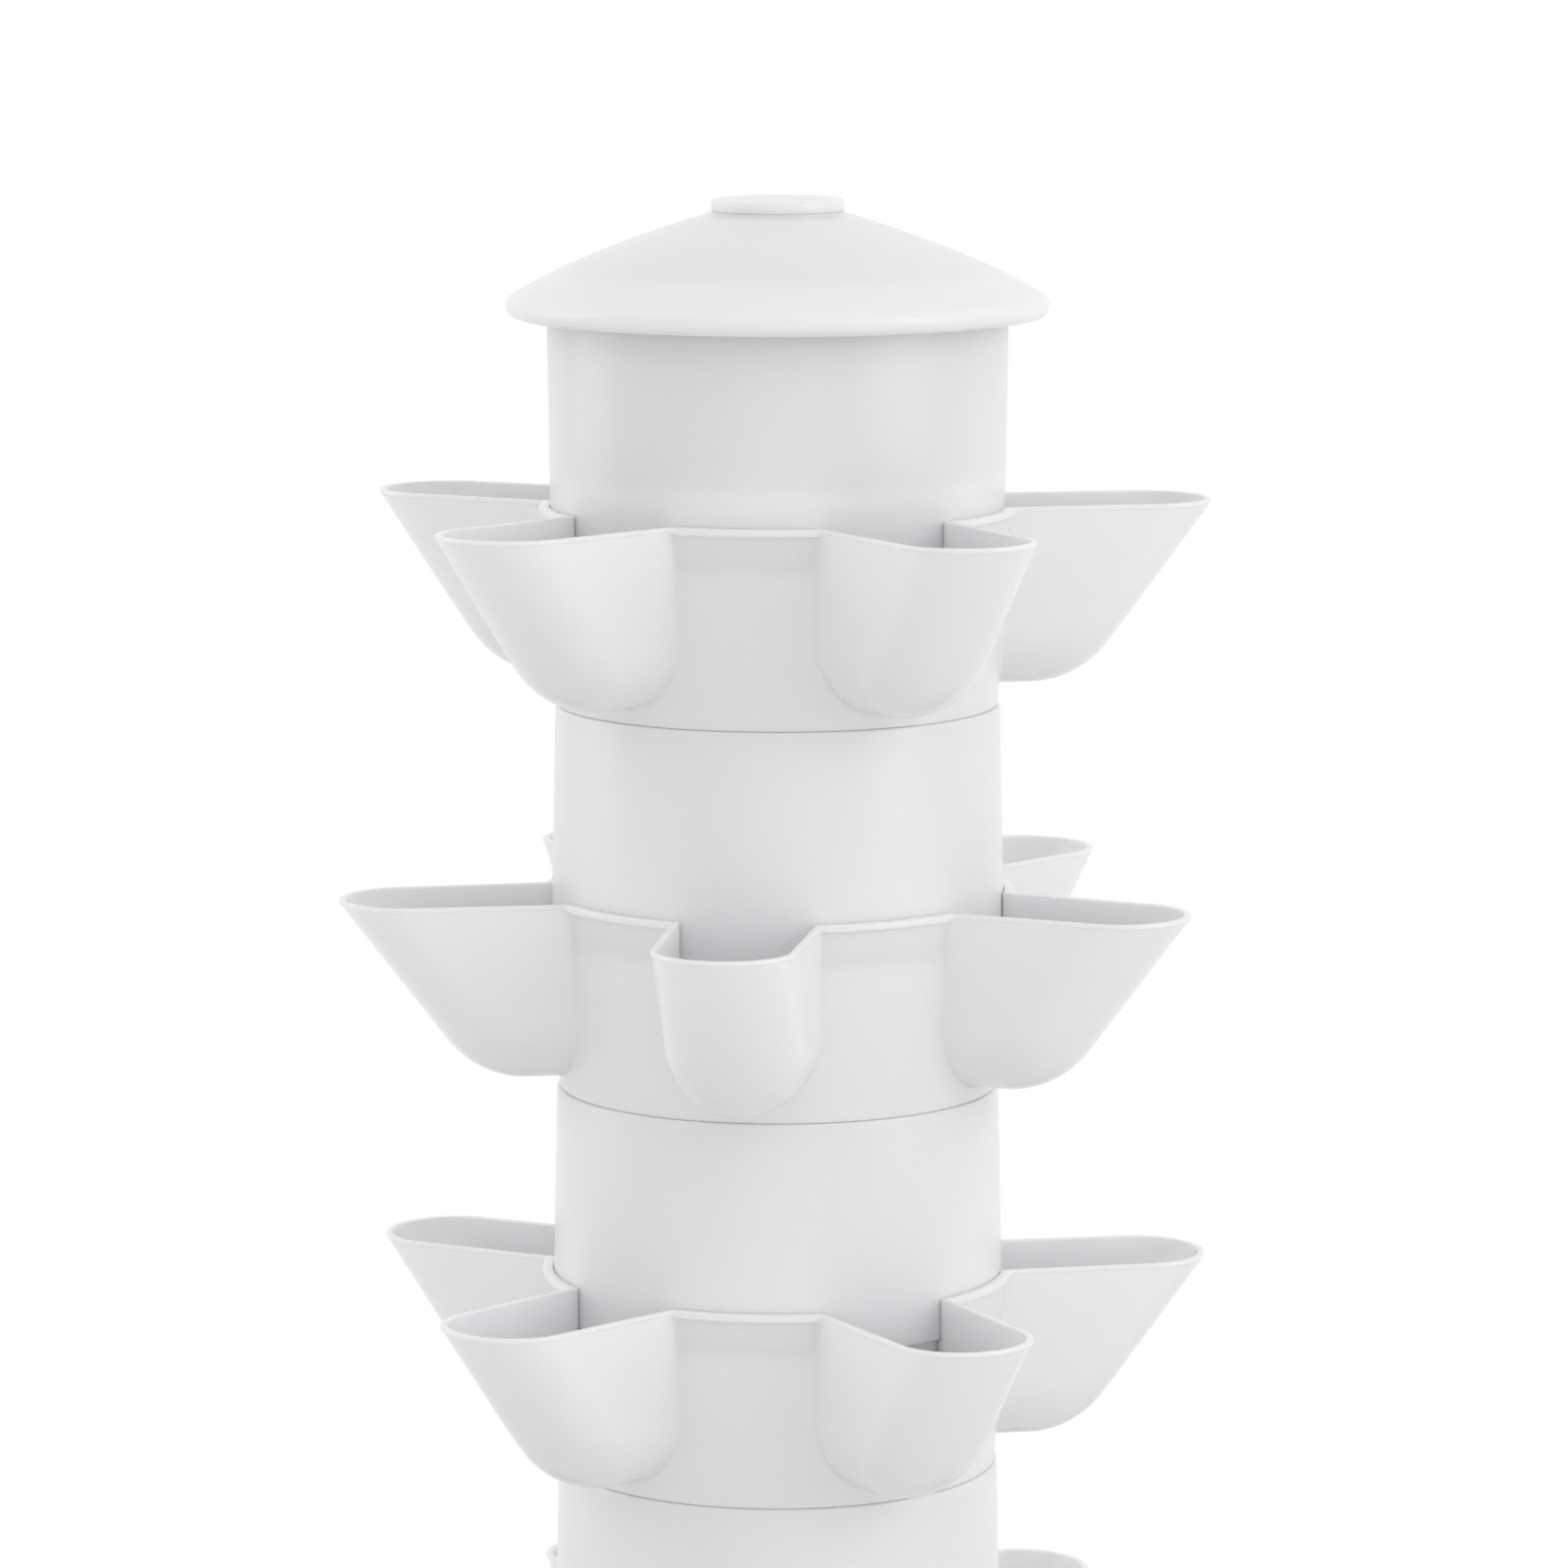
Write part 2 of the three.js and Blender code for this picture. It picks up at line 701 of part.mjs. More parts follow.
function addPump(sink) {
  const back = housingLength - housingFront;
  const middle = housingHeight / 2;
  const alongY = (geometry) => geometry.rotateX(-Math.PI / 2);
  const shell = roundedBlock(housingWidth, housingLength, housingHeight, housingCorner);
  shell.translate(0, (back - housingFront) / 2, 0);
  const outlet = rod(outletRadius, housingHeight - overrun, housingHeight + outletHeight, pipeSides);
  const chamberEnd = chamberDepth - housingFront;
  const chamber = alongY(rod(chamberRadius, -overrun, chamberDepth, pipeSides));
  chamber.translate(0, -housingFront, middle);
  const magnetBore = alongY(rod(magnetBoreRadius, -overrun, magnetBoreDepth, pipeSides));
  magnetBore.translate(0, chamberEnd, middle);
  const shaftHole = alongY(rod(shaftRadius + seatGap, -overrun, shaftSeatDepth, smallSides));
  shaftHole.translate(0, chamberEnd + magnetBoreDepth, middle);
  const outletHole = rod(outletBore, middle, housingHeight + outletHeight + overrun, smallSides);
  const housing = cut(joined([solid(shell), solid(outlet)]), [
    solid(chamber),
    solid(magnetBore),
    solid(shaftHole),
    solid(outletHole),
  ]);
  piece("pump_housing", housing, pumpBlack(), sink);

  const shaftFront = -housingFront + seatGap * 2;
  const shaftBack = chamberEnd + magnetBoreDepth + shaftSeatDepth - seatGap;
  const shaft = alongY(rod(shaftRadius, shaftFront, shaftBack, smallSides)).translate(0, 0, middle);
  piece("pump_shaft", solid(shaft), ceramic(), sink);

  const rotorFront = chamberEnd - rotorGap - rotorDiscThickness - bladeHeight;
  const discFront = rotorFront + bladeHeight;
  const discMiddle = discFront + rotorDiscThickness / 2;
  const rotorBack = discFront + rotorDiscThickness + magnetLength;
  const boreRadius = shaftRadius + shaftGap;
  const magnet = alongY(rod(magnetRadius, discFront, rotorBack, pipeSides));
  const disc = alongY(rod(rotorReach, discFront, discFront + rotorDiscThickness, pipeSides));
  const hub = alongY(rod(boreRadius + bladeThickness, rotorFront, discMiddle, smallSides));
  const bladeHalf = bladeThickness / 2;
  const blade = block(0, rotorReach, rotorFront, discMiddle, -bladeHalf, bladeHalf);
  const blades = around(bladeCount, (turn) => solid(blade.clone().rotateY(turn)));
  const rotorBore = alongY(rod(boreRadius, rotorFront - overrun, rotorBack + overrun, smallSides));
  const rotor = cut(joined([solid(magnet), solid(disc), solid(hub), ...blades]), [solid(rotorBore)]);
  piece("pump_rotor", rotor, magnetGrey(), sink).position.z = middle;

  const inlet = roundedBlock(housingWidth, inletLength, housingHeight, housingCorner / 2);
  inlet.translate(0, -housingFront - seatGap - inletLength / 2, 0);
  const inletHollow = block(
    inletWall - housingWidth / 2,
    housingWidth / 2 - inletWall,
    inletWall - housingFront - seatGap - inletLength,
    overrun - housingFront,
    inletWall,
    housingHeight - inletWall,
  );
  const slots = Array.from({ length: grilleSlotCount }, (_, i) => {
    const x = (i - (grilleSlotCount - 1) / 2) * grilleSlotPitch;
    return solid(
      block(
        x - grilleSlotWidth / 2,
        x + grilleSlotWidth / 2,
        -housingFront - seatGap - inletLength - overrun,
        -housingFront,
        middle - grilleSlotHeight / 2,
        middle + grilleSlotHeight / 2,
      ),
    );
  });
  piece("pump_inlet_cover", cut(solid(inlet), [solid(inletHollow), ...slots]), pumpBlack(), sink);

  const footSpread = housingWidth / 2 - footRadius;
  const footOutline = [
    [0, -footHeight - seatGap],
    [footRadius, -footHeight - seatGap],
    [footRadius, footLipThickness - footHeight - seatGap],
    [footNeckRadius, -footHeight / 2 - seatGap],
    [footNeckRadius, -seatGap],
    [0, -seatGap],
  ];
  const corners = [
    [-footSpread, footRadius - housingFront],
    [footSpread, footRadius - housingFront],
    [footSpread, back - footRadius],
    [-footSpread, back - footRadius],
  ];
  corners.forEach(([x, y], i) => {
    const foot = solid(turned(footOutline, smallSides));
    piece("pump_foot_" + (i + 1), foot, rubber(), sink).position.set(x, y, 0);
  });
}

// Tank

const tankFlangeRadius = tankTopRadius + tankFlangeReach;
const tankRadiusAt = (height) => tankBaseRadius + ((tankTopRadius - tankBaseRadius) * height) / tankHeight;
const tapFace = -(tankRadiusAt(tapHeight) + tapBossReach);
const tapInnerFace = tapFace + tapBossReach * 2 + tankWall;

function tankBody() {
  const outline = [
    [0, tankFootHeight],
    [tankBaseRadius - tankFootWidth, tankFootHeight],
    [tankBaseRadius - tankFootWidth, 0],
    [tankBaseRadius, 0],
    [tankTopRadius, tankHeight - tankFlangeThickness],
    [tankFlangeRadius, tankHeight - tankFlangeThickness],
    [tankFlangeRadius, tankHeight],
    [tankTopRadius - tankWall, tankHeight],
    [tankBaseRadius - tankWall, tankFloorTop],
    [0, tankFloorTop],
  ];
  const boss = rod(tapBossRadius, tapFace, tapInnerFace, pipeSides).rotateX(-Math.PI / 2);
  const hole = rod(tapBarrelRadius + tapHoleGap, tapFace - overrun, tapInnerFace + overrun, pipeSides);
  hole.rotateX(-Math.PI / 2);
  return cut(joined([solid(turned(outline, tankSides)), solid(boss.translate(0, 0, tapHeight))]), [
    solid(hole.translate(0, 0, tapHeight)),
  ]);
}

// Tank cover with collar, filling port, flap and grommet

const portRimRadius = portRadius + portRimWall;
const flapRadius = portRimRadius + flapOverlap;
const flapLow = portRimHeight + seatGap;
const hingeReach = flapRadius + flapBarrelRadius;
const hingeHeight = flapLow + flapThickness / 2;
const earInner = flapBarrelLength / 2 + flapEarGap;
const earOuter = earInner + flapEarLength;

function coverBody() {
  const skirtInner = tankFlangeRadius + coverSkirtGap;
  const skirtOuter = skirtInner + coverSkirtWall;
  const plate = turned(
    [
      [drumTopRadius - drumWall, -coverThickness],
      [skirtInner, -coverThickness],
      [skirtInner, -coverThickness - coverSkirtDepth],
      [skirtOuter, -coverThickness - coverSkirtDepth],
      [skirtOuter, -coverEdgeBevel],
      [skirtOuter - coverEdgeBevel, 0],
      [collarFootRadius, 0],
      [drumTopRadius, collarHeight - drumRound],
      [drumTopRadius - drumRound, collarHeight],
      [drumTopRadius - drumWall, collarHeight],
    ],
    tankSides,
  );
  const portTurn = radians(portAzimuth) + towardsFront;
  const toPort = (geometry) => geometry.translate(shoulderMiddle, 0, 0).rotateZ(portTurn);
  const portRim = toPort(rod(portRimRadius, -coverThickness / 2, portRimHeight, pipeSides));
  const portHole = toPort(rod(portRadius, -coverThickness - overrun, portRimHeight + overrun, pipeSides));
  const ears = [-1, 1].map((side) => {
    const ear = block(
      hingeReach - flapBarrelRadius,
      hingeReach + flapBarrelRadius,
      Math.min(side * earInner, side * earOuter),
      Math.max(side * earInner, side * earOuter),
      -coverThickness / 2,
      hingeHeight + flapBarrelRadius,
    );
    return solid(toPort(ear));
  });
  const pinHoleEnd = earOuter + overrun;
  const pinHole = rod(flapPinRadius + flapPinGap, -pinHoleEnd, pinHoleEnd, smallSides);
  pinHole.rotateX(Math.PI / 2).translate(hingeReach, 0, hingeHeight);
  const grommetHole = rod(grommetRadius + seatGap, -coverThickness - overrun, overrun, pipeSides);
  grommetHole.translate(0, shoulderMiddle, 0);
  return cut(joined([solid(plate), solid(portRim), ...ears]), [
    solid(portHole),
    solid(toPort(pinHole)),
    solid(grommetHole),
  ]);
}

function flapBody() {
  const disc = rod(flapRadius, flapLow, flapLow + flapThickness, pipeSides);
  const plug = rod(portRadius - slipGap, flapLow - flapPlugDepth, flapLow + flapThickness / 2, pipeSides);
  const barrel = rod(flapBarrelRadius, -flapBarrelLength / 2, flapBarrelLength / 2, smallSides);
  barrel.rotateX(Math.PI / 2).translate(hingeReach, 0, hingeHeight);
  const web = block(
    portRadius,
    hingeReach,
    -flapBarrelLength / 2,
    flapBarrelLength / 2,
    flapLow,
    flapLow + flapThickness,
  );
  const tab = block(
    -flapRadius - flapTabReach,
    -portRadius,
    -flapTabWidth / 2,
    flapTabWidth / 2,
    flapLow,
    flapLow + flapThickness,
  );
  const pinHole = rod(flapPinRadius + flapPinGap, -earOuter, earOuter, smallSides);
  pinHole.rotateX(Math.PI / 2).translate(hingeReach, 0, hingeHeight);
  return cut(joined([solid(disc), solid(plug), solid(barrel), solid(web), solid(tab)]), [solid(pinHole)]);
}

function addPort(sink) {
  const port = new THREE.Group();
  const turn = radians(portAzimuth) + towardsFront;
  port.position.set(shoulderMiddle * Math.cos(turn), shoulderMiddle * Math.sin(turn), 0);
  port.rotation.z = turn;
  piece("fill_flap", flapBody(), white(), port);
  const pin = rod(flapPinRadius, -earOuter, earOuter, smallSides).rotateX(Math.PI / 2);
  piece("flap_pin", solid(pin), steel(), port).position.set(hingeReach, 0, hingeHeight);
  sink.add(port);
}

function grommetBody() {
  const wide = grommetRadius + grommetFlange;
  const outline = [
    [grommetBore, grommetFlangeThickness + seatGap],
    [wide, grommetFlangeThickness + seatGap],
    [wide, seatGap],
    [grommetRadius, seatGap],
    [grommetRadius, -coverThickness - seatGap],
    [wide, -coverThickness - seatGap],
    [wide, -coverThickness - seatGap - grommetFlangeThickness],
    [grommetBore, -coverThickness - seatGap - grommetFlangeThickness],
  ];
  return solid(turned(outline, pipeSides));
}

// Drain tap, along -Y from the tank's front face

function addTap(sink) {
  const outward = (geometry) => geometry.rotateX(Math.PI / 2);
  const flangeLow = washerThickness + seatGap * 2;
  const valve = flangeLow + tapFlangeThickness + tapValveDistance;
  const inside = tapBossReach * 2 + tankWall + tapNutThickness + seatGap * 2;
  const barrel = outward(rod(tapBarrelRadius, -inside, valve, pipeSides));
  const flange = outward(rod(tapFlangeRadius, flangeLow, flangeLow + tapFlangeThickness, pipeSides));
  const valveTop = tapValveHeight / 2;
  const spoutLow = -valveTop - spoutDrop;
  const chamber = rod(tapValveRadius, -valveTop, valveTop, pipeSides).translate(0, -valve, 0);
  const spout = rod(spoutRadius, spoutLow, 0, pipeSides).translate(0, -valve, 0);
  const throughBore = outward(rod(tapBore, -inside - overrun, valve, smallSides));
  const spoutBore = rod(tapBore, spoutLow - overrun, 0, smallSides).translate(0, -valve, 0);
  const stemHole = rod(tapStemRadius + seatGap, valveTop - tapStemDepth, valveTop + overrun, smallSides);
  stemHole.translate(0, -valve, 0);
  const body = cut(joined([solid(barrel), solid(flange), solid(chamber), solid(spout)]), [
    solid(throughBore),
    solid(spoutBore),
    solid(stemHole),
  ]);
  piece("tap_body", body, white(), sink);

  const holeRadius = tapBarrelRadius + tapHoleGap;
  const washer = outward(tube(washerRadius, holeRadius, seatGap, seatGap + washerThickness, pipeSides));
  piece("tap_washer", solid(washer), rubber(), sink);

  const nutNear = tapBossReach * 2 + tankWall + seatGap;
  const nutFar = nutNear + tapNutThickness;
  const hexagon = outward(rod(tapNutRadius, -nutFar, -nutNear, hexagonSides));
  const nutHole = outward(rod(holeRadius, -nutFar - overrun, overrun - nutNear, pipeSides));
  piece("tap_nut", cut(solid(hexagon), [solid(nutHole)]), white(), sink);

  const leverLow = valveTop + seatGap;
  const leverHalf = leverWidth / 2;
  const lever = block(-leverHalf, leverLength, -leverHalf, leverHalf, leverLow, leverLow + leverThickness);
  const stem = rod(tapStemRadius, leverLow - tapStemDepth, leverLow + leverThickness / 2, smallSides);
  piece("tap_lever", joined([solid(lever), solid(stem)]), pumpBlack(), sink).position.y = -valve;
}

// Assembly

const tower = new THREE.Group();

const base = new THREE.Group();
piece("tank", tankBody(), tankWhite(), base);
addRiser(base);
tower.add(base);

const pump = new THREE.Group();
pump.position.z = tankFloorTop + footHeight + seatGap * 2;
addPump(pump);
tower.add(pump);

const tap = new THREE.Group();
tap.position.set(0, tapFace, tapHeight);
addTap(tap);
tower.add(tap);

const cover = new THREE.Group();
cover.position.z = coverTop;
piece("tank_cover", coverBody(), tankWhite(), cover);
piece("cable_grommet", grommetBody(), rubber(), cover).position.y = shoulderMiddle;
addPort(cover);
tower.add(cover);

for (let tier = 1; tier <= tierCount; tier++) {
  const stage = new THREE.Group();
  stage.position.z = seamLevel(tier);
  stage.rotation.z = tier % 2 === 0 ? Math.PI / pocketCount : 0;
  piece("pocket_ring_" + tier, ringBody(), white(), stage);
  const top = tier === tierCount;
  const drum = top ? crownBody() : drumBody();
  piece(top ? "top_drum" : "drum_" + tier, drum, white(), stage).position.z = drumLow;
  tower.add(stage);
}

const head = new THREE.Group();
head.position.z = brimLevel;
piece("lid", lidBody(), white(), head);
piece("lid_cap", capBody(), white(), head).position.z = lidRise + lidNeckHeight;
tower.add(head);

const spray = new THREE.Group();
spray.position.z = seamLevel(tierCount) + ringHeight + ledgeAboveRim + seatGap;
piece("spreader_dish", spreaderBody(), pipeGrey(), spray);
piece("spray_cap", sprayCapBody(), pipeGrey(), spray);
tower.add(spray);

export default tower;
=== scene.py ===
# The looks of a vertical planter tower: rings of pockets and drums stacked on a covered water tank.
# Lengths are millimetres in the CAD frame until a mesh is made, which is in metres.
import math

import bmesh
import bpy
from mathutils import Euler, Matrix, Vector

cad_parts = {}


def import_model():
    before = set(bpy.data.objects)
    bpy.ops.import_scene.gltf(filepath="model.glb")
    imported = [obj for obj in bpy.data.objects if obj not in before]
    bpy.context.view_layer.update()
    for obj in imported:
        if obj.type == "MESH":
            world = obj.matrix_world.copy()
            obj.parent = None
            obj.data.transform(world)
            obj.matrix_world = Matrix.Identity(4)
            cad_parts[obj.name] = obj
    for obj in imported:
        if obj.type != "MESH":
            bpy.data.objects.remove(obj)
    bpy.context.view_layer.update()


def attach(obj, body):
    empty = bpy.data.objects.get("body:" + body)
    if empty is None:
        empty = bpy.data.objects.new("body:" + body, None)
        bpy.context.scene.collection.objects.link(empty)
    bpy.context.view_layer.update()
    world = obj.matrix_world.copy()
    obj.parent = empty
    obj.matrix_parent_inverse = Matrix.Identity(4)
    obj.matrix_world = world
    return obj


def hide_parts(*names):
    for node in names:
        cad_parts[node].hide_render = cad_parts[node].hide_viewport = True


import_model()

MM = 0.001
WELD = 0.004

# Counts
TIERS = 4
POCKETS = 5
ROUND_STEPS = 128
WIDE_STEPS = 160
PORT_STEPS = 64
PIPE_STEPS = 48
THIN_STEPS = 24
CORNER_STEPS = 4
SMOOTH_ANGLE = math.radians(35)
BORE_TURN = math.radians(1.1)

# Levels over the floor
COVER_TOP = 193.3
FIRST_SEAM = 235.6
TIER_PITCH = 147.3
SEAMS = [FIRST_SEAM + k * TIER_PITCH for k in range(TIERS)]
BRIM_LEVEL = FIRST_SEAM + TIERS * TIER_PITCH
PUMP_LEVEL = 13.6
DISH_LEVEL = 767.6
TAP_LEVEL = 32

# Ring of pockets
RING_HEIGHT = 75.8
RING_TOP_RADIUS = 89
RING_FOOT_RADIUS = 83.8
RING_FOOT_BEVEL = 0.4
RING_WALL = 2.4
SOCKET_RADIUS = 86.6
SOCKET_DEPTH = 16.3
SOCKET_LEDGE = 1.9
FLOOR_THICKNESS = 2.4
SPIGOT_RADIUS = 81.4
SPIGOT_WALL = 2
SPIGOT_DEPTH = 8
HUB_RADIUS = 13.8
HUB_BORE = 10.8
HUB_HEIGHT = 14
WINDOW_RADII = (70, 62, 54, 46, 38, 31, 24)
WINDOW_HALF_ANGLE = 26
EDGE_ROUND = 0.6

# Pocket
POCKET_REACH = 167.95
KEEL_START = 169.35
KEEL_LEAN = math.radians(37.2)
KEEL_ROUND = 38
POCKET_DEPTH = 70
POCKET_HALF_WIDTH = 27.7
NOSE_HALF_WIDTH = 26.4
NOSE_LENGTH = 24.7
POCKET_ROOT = 78.4
POCKET_WALL = 2.3
OUTER_FILLET = 1.3
INNER_FILLET = 0.5
STRAIGHT_DEPTH = POCKET_DEPTH - POCKET_HALF_WIDTH

# Drum
DRUM_LOW = 59.8
DRUM_HEIGHT = 87.4
DRUM_FOOT_RADIUS = 86.35
DRUM_TOP_RADIUS = 84.7
DRUM_SPIGOT_RADIUS = 84
DRUM_SPIGOT_DEPTH = 4.5
CROWN_HEIGHT = 90.2
CROWN_TOP_RADIUS = 87.4
DRUM_WALL = 2.4
DRUM_ROUND = 1
LEDGE_HEIGHT = 30
LEDGE_REACH = 6
LEDGE_THICKNESS = 3

# Lid
LID_RADIUS = 102.8
LID_RISE = 38.6
LID_TOP_RADIUS = 27
LID_WALL = 2.4
LID_HOLE_RADIUS = 18
BRIM_ROUND = 4.4
BRIM_ROUND_ANGLE = math.radians(60)
DOME_BEND_REACH = 0.63
DOME_BEND_RISE = 0.47
DOME_STEPS = 28
BRIM_STEPS = 14
LID_SEAT_RADIUS = 88.5
LID_SEAT_DEPTH = 3
LID_SKIRT_RADIUS = 83.9
LID_SKIRT_WALL = 2.2
LID_SKIRT_DEPTH = 8
NECK_HEIGHT = 1.2
CAP_RADIUS = 25.2
CAP_TOP = 4.5
CAP_LOW = 0.1
CAP_ROUND = 1.4
STEM_RADIUS = 17.4
STEM_WALL = 2
STEM_DEPTH = 9

# Water way
RISER_RADIUS = 10
RISER_BORE = 8
RISER_END = 34
NIPPLE_RADIUS = 7.7
NIPPLE_BORE = 6.1
NIPPLE_REACH = 15
PIPE_GAP = 0.3
PIPE_SOCKET_RADIUS = 12.9
PIPE_SOCKET_REACH = 14
DISH_RADIUS = 82.6
DISH_WALL = 2
DISH_HEIGHT = 12
DISH_HUB_RADIUS = 13.4
DISH_HUB_HEIGHT = 22
DISH_HOLES = 10
DISH_HOLE_RADIUS = 2.6
DISH_HOLE_REACH = 58
HOOD_RADIUS = 16.2
HOOD_WALL = 2
HOOD_LOW = 2.3
HOOD_TOP = 36.3
HOOD_SLOTS = 6

# Tank
TANK_FOOT_RADIUS = 150
TANK_TOP_RADIUS = 178
TANK_HEIGHT = 190
TANK_WALL = 3
TANK_FLOOR_TOP = 7
TANK_FLANGE_RADIUS = 184
TANK_FLANGE_THICKNESS = 4
TANK_FOOT_RING = 14
TANK_FOOT_RISE = 4
TAP_FACE = 159.72
TAP_FACE_INNER = 146.72
TAP_BOSS_RADIUS = 15
TAP_HOLE_RADIUS = 7.4
CUT_PAST = 3

# Tank cover
COVER_WALL = 3
SKIRT_RADIUS = 187.6
SKIRT_INNER_RADIUS = 185
SKIRT_DEPTH = 15
COLLAR_FOOT_RADIUS = 86
COLLAR_TOP_RADIUS = 84.7
COLLAR_HEIGHT = 42
SHOULDER_RADIUS = 132
PORT_RADIUS = 20
PORT_RIM_RADIUS = 23
PORT_RIM_HEIGHT = 5
PORT_TURN = math.radians(-30)
FLAP_RADIUS = 25.5
FLAP_LOW = 5.3
FLAP_THICKNESS = 3
PLUG_RADIUS = 19.2
PLUG_DEPTH = 4
TAB_REACH = 32.5
TAB_HALF_WIDTH = 7
HINGE_REACH = 28.5
HINGE_HEIGHT = 6.8
HINGE_RADIUS = 3
BARREL_HALF_WIDTH = 8
WEB_HALF_WIDTH = 7.8
EAR_SIDES = (8.4, 13.4)
EAR_TOP = 9.8
PIN_RADIUS = 1.3
PIN_WAY_RADIUS = 1.6
LEAD_HOLE_RADIUS = 9.3
GROMMET_RADIUS = 11.6
GROMMET_NECK = 9
GROMMET_BORE = 3.4

# Pump
PUMP_HALF_WIDTH = 23
PUMP_FRONT = -12
PUMP_BACK = 40
PUMP_HEIGHT = 40
PUMP_AXIS = 20
OUTLET_RADIUS = 7
OUTLET_BORE = 4.6
OUTLET_LENGTH = 14
CHAMBER_RADIUS = 14.5
CHAMBER_FRONT = -15
CHAMBER_BACK = 5
MAGNET_WAY_RADIUS = 8.4
MAGNET_WAY_END = 31
SHAFT_RADIUS = 1.2
SHAFT_WAY_RADIUS = 1.5
SHAFT_WAY_END = 34
MAGNET_RADIUS = 7.4
MAGNET_BORE = 1.6
MAGNET_END = 26
ROTOR_DISC_RADIUS = 12.5
ROTOR_HUB_RADIUS = 3.2
BLADES = 4
BLADE_HALF_HEIGHT = 3
INLET_FACE = -21.3
INLET_SLOTS = 5
INLET_SLOT_PITCH = 6
FEET_PLACES = ((-16.5, -5.5), (16.5, -5.5), (16.5, 33.5), (-16.5, 33.5))
FOOT_RADIUS = 6.5
FOOT_STEM_RADIUS = 3.2
FOOT_LOW = -6.3

# Drain tap
VALVE_REACH = 18.6
TAP_PIPE_RADIUS = 7
TAP_BORE = 3.6
TAP_COLLAR_RADIUS = 12
TAP_THREAD = 20.6
SPOUT_RADIUS = 6
SPOUT_LOW = -24
VALVE_RADIUS = 9
VALVE_HALF_HEIGHT = 10
STEM_WAY_RADIUS = 3.9
NUT_SIDES = 6
NUT_RADIUS = 13
NUT_ENDS = (-20.3, -13.3)
LEVER_LEVELS = (10.3, 14.3)


# Meshes

def polar(radius, angle, height):
    return Vector((radius * math.cos(angle), radius * math.sin(angle), height))


class Surface:
    """Points in millimetres and the faces between them, welded into one closed mesh."""

    def __init__(self):
        self.points = []
        self.faces = []

    def grid(self, rows):
        start = len(self.points)
        width = len(rows[0])
        for row in rows:
            self.points.extend(row)
        for i in range(len(rows) - 1):
            for j in range(width - 1):
                low = start + i * width + j
                self.faces.append((low, low + 1, low + width + 1, low + width))

    def polygon(self, points):
        start = len(self.points)
        self.points.extend(points)
        self.faces.append(tuple(range(start, start + len(points))))

    def mesh(self, closed=True):
        bm = bmesh.new()
        corners = [bm.verts.new(Vector(point) * MM) for point in self.points]
        for face in self.faces:
            bm.faces.new([corners[i] for i in face])
        return welded(bm, closed)


def welded(bm, closed=True):
    bmesh.ops.remove_doubles(bm, verts=bm.verts, dist=WELD * MM)
    bmesh.ops.dissolve_degenerate(bm, edges=bm.edges, dist=WELD * MM / 2)
    if closed:
        bmesh.ops.recalc_face_normals(bm, faces=bm.faces)
    made = bpy.data.meshes.new("shape")
    bm.to_mesh(made)
    bm.free()
    return made


def rewelded(mesh, closed=True):
    bm = bmesh.new()
    bm.from_mesh(mesh)
    return welded(bm, closed)


def softened(corners):
    """An outline with arcs in place of the corners that are given a rounding radius."""
    made = []
    for i, corner in enumerate(corners):
        here = Vector(corner[:2])
        if len(corner) < 3 or not corner[2]:
            made.append(here)
            continue
        before = Vector(corners[i - 1][:2]) - here
        after = Vector(corners[(i + 1) % len(corners)][:2]) - here
        half = before.angle(after) / 2
        reach = min(corner[2] / math.tan(half), before.length / 2.1, after.length / 2.1)
        radius = reach * math.tan(half)
        middle = here + (before.normalized() + after.normalized()).normalized() * (radius / math.sin(half))
        first = here + before.normalized() * reach - middle
        turn = first.angle_signed(here + after.normalized() * reach - middle)
        for k in range(CORNER_STEPS + 1):
            spoke = first.copy()
            spoke.rotate(Matrix.Rotation(-turn * k / CORNER_STEPS, 2))
            made.append(middle + spoke)
    return made


def turned(corners, steps=ROUND_STEPS):
    """A closed solid of revolution about Z from an outline of (radius, height, rounding) corners."""
    outline = softened(corners)
    outline.append(outline[0])
    surface = Surface()
    rows = []
    for i in range(steps + 1):
        angle = 2 * math.pi * (i % steps) / steps
        rows.append([polar(r, angle, z) for r, z in outline])
    surface.grid(rows)
    return surface.mesh()


def rod(radius, low, high, soft=0.4, steps=PIPE_STEPS):
    return turned([(0, low), (radius, low, soft), (radius, high, soft), (0, high)], steps)


def bore(radius, low, high, steps=THIN_STEPS):
    """A rod to cut with. Its corners stand between those of the round shape that it cuts."""
    return placed(rod(radius, low, high, 0, steps), turn=(0, 0, BORE_TURN))


def tube(outer, inner, low, high, soft=0.3):
    corners = ((inner, low), (outer, low), (outer, high), (inner, high))
    return turned([(*corner, soft) for corner in corners], PIPE_STEPS)


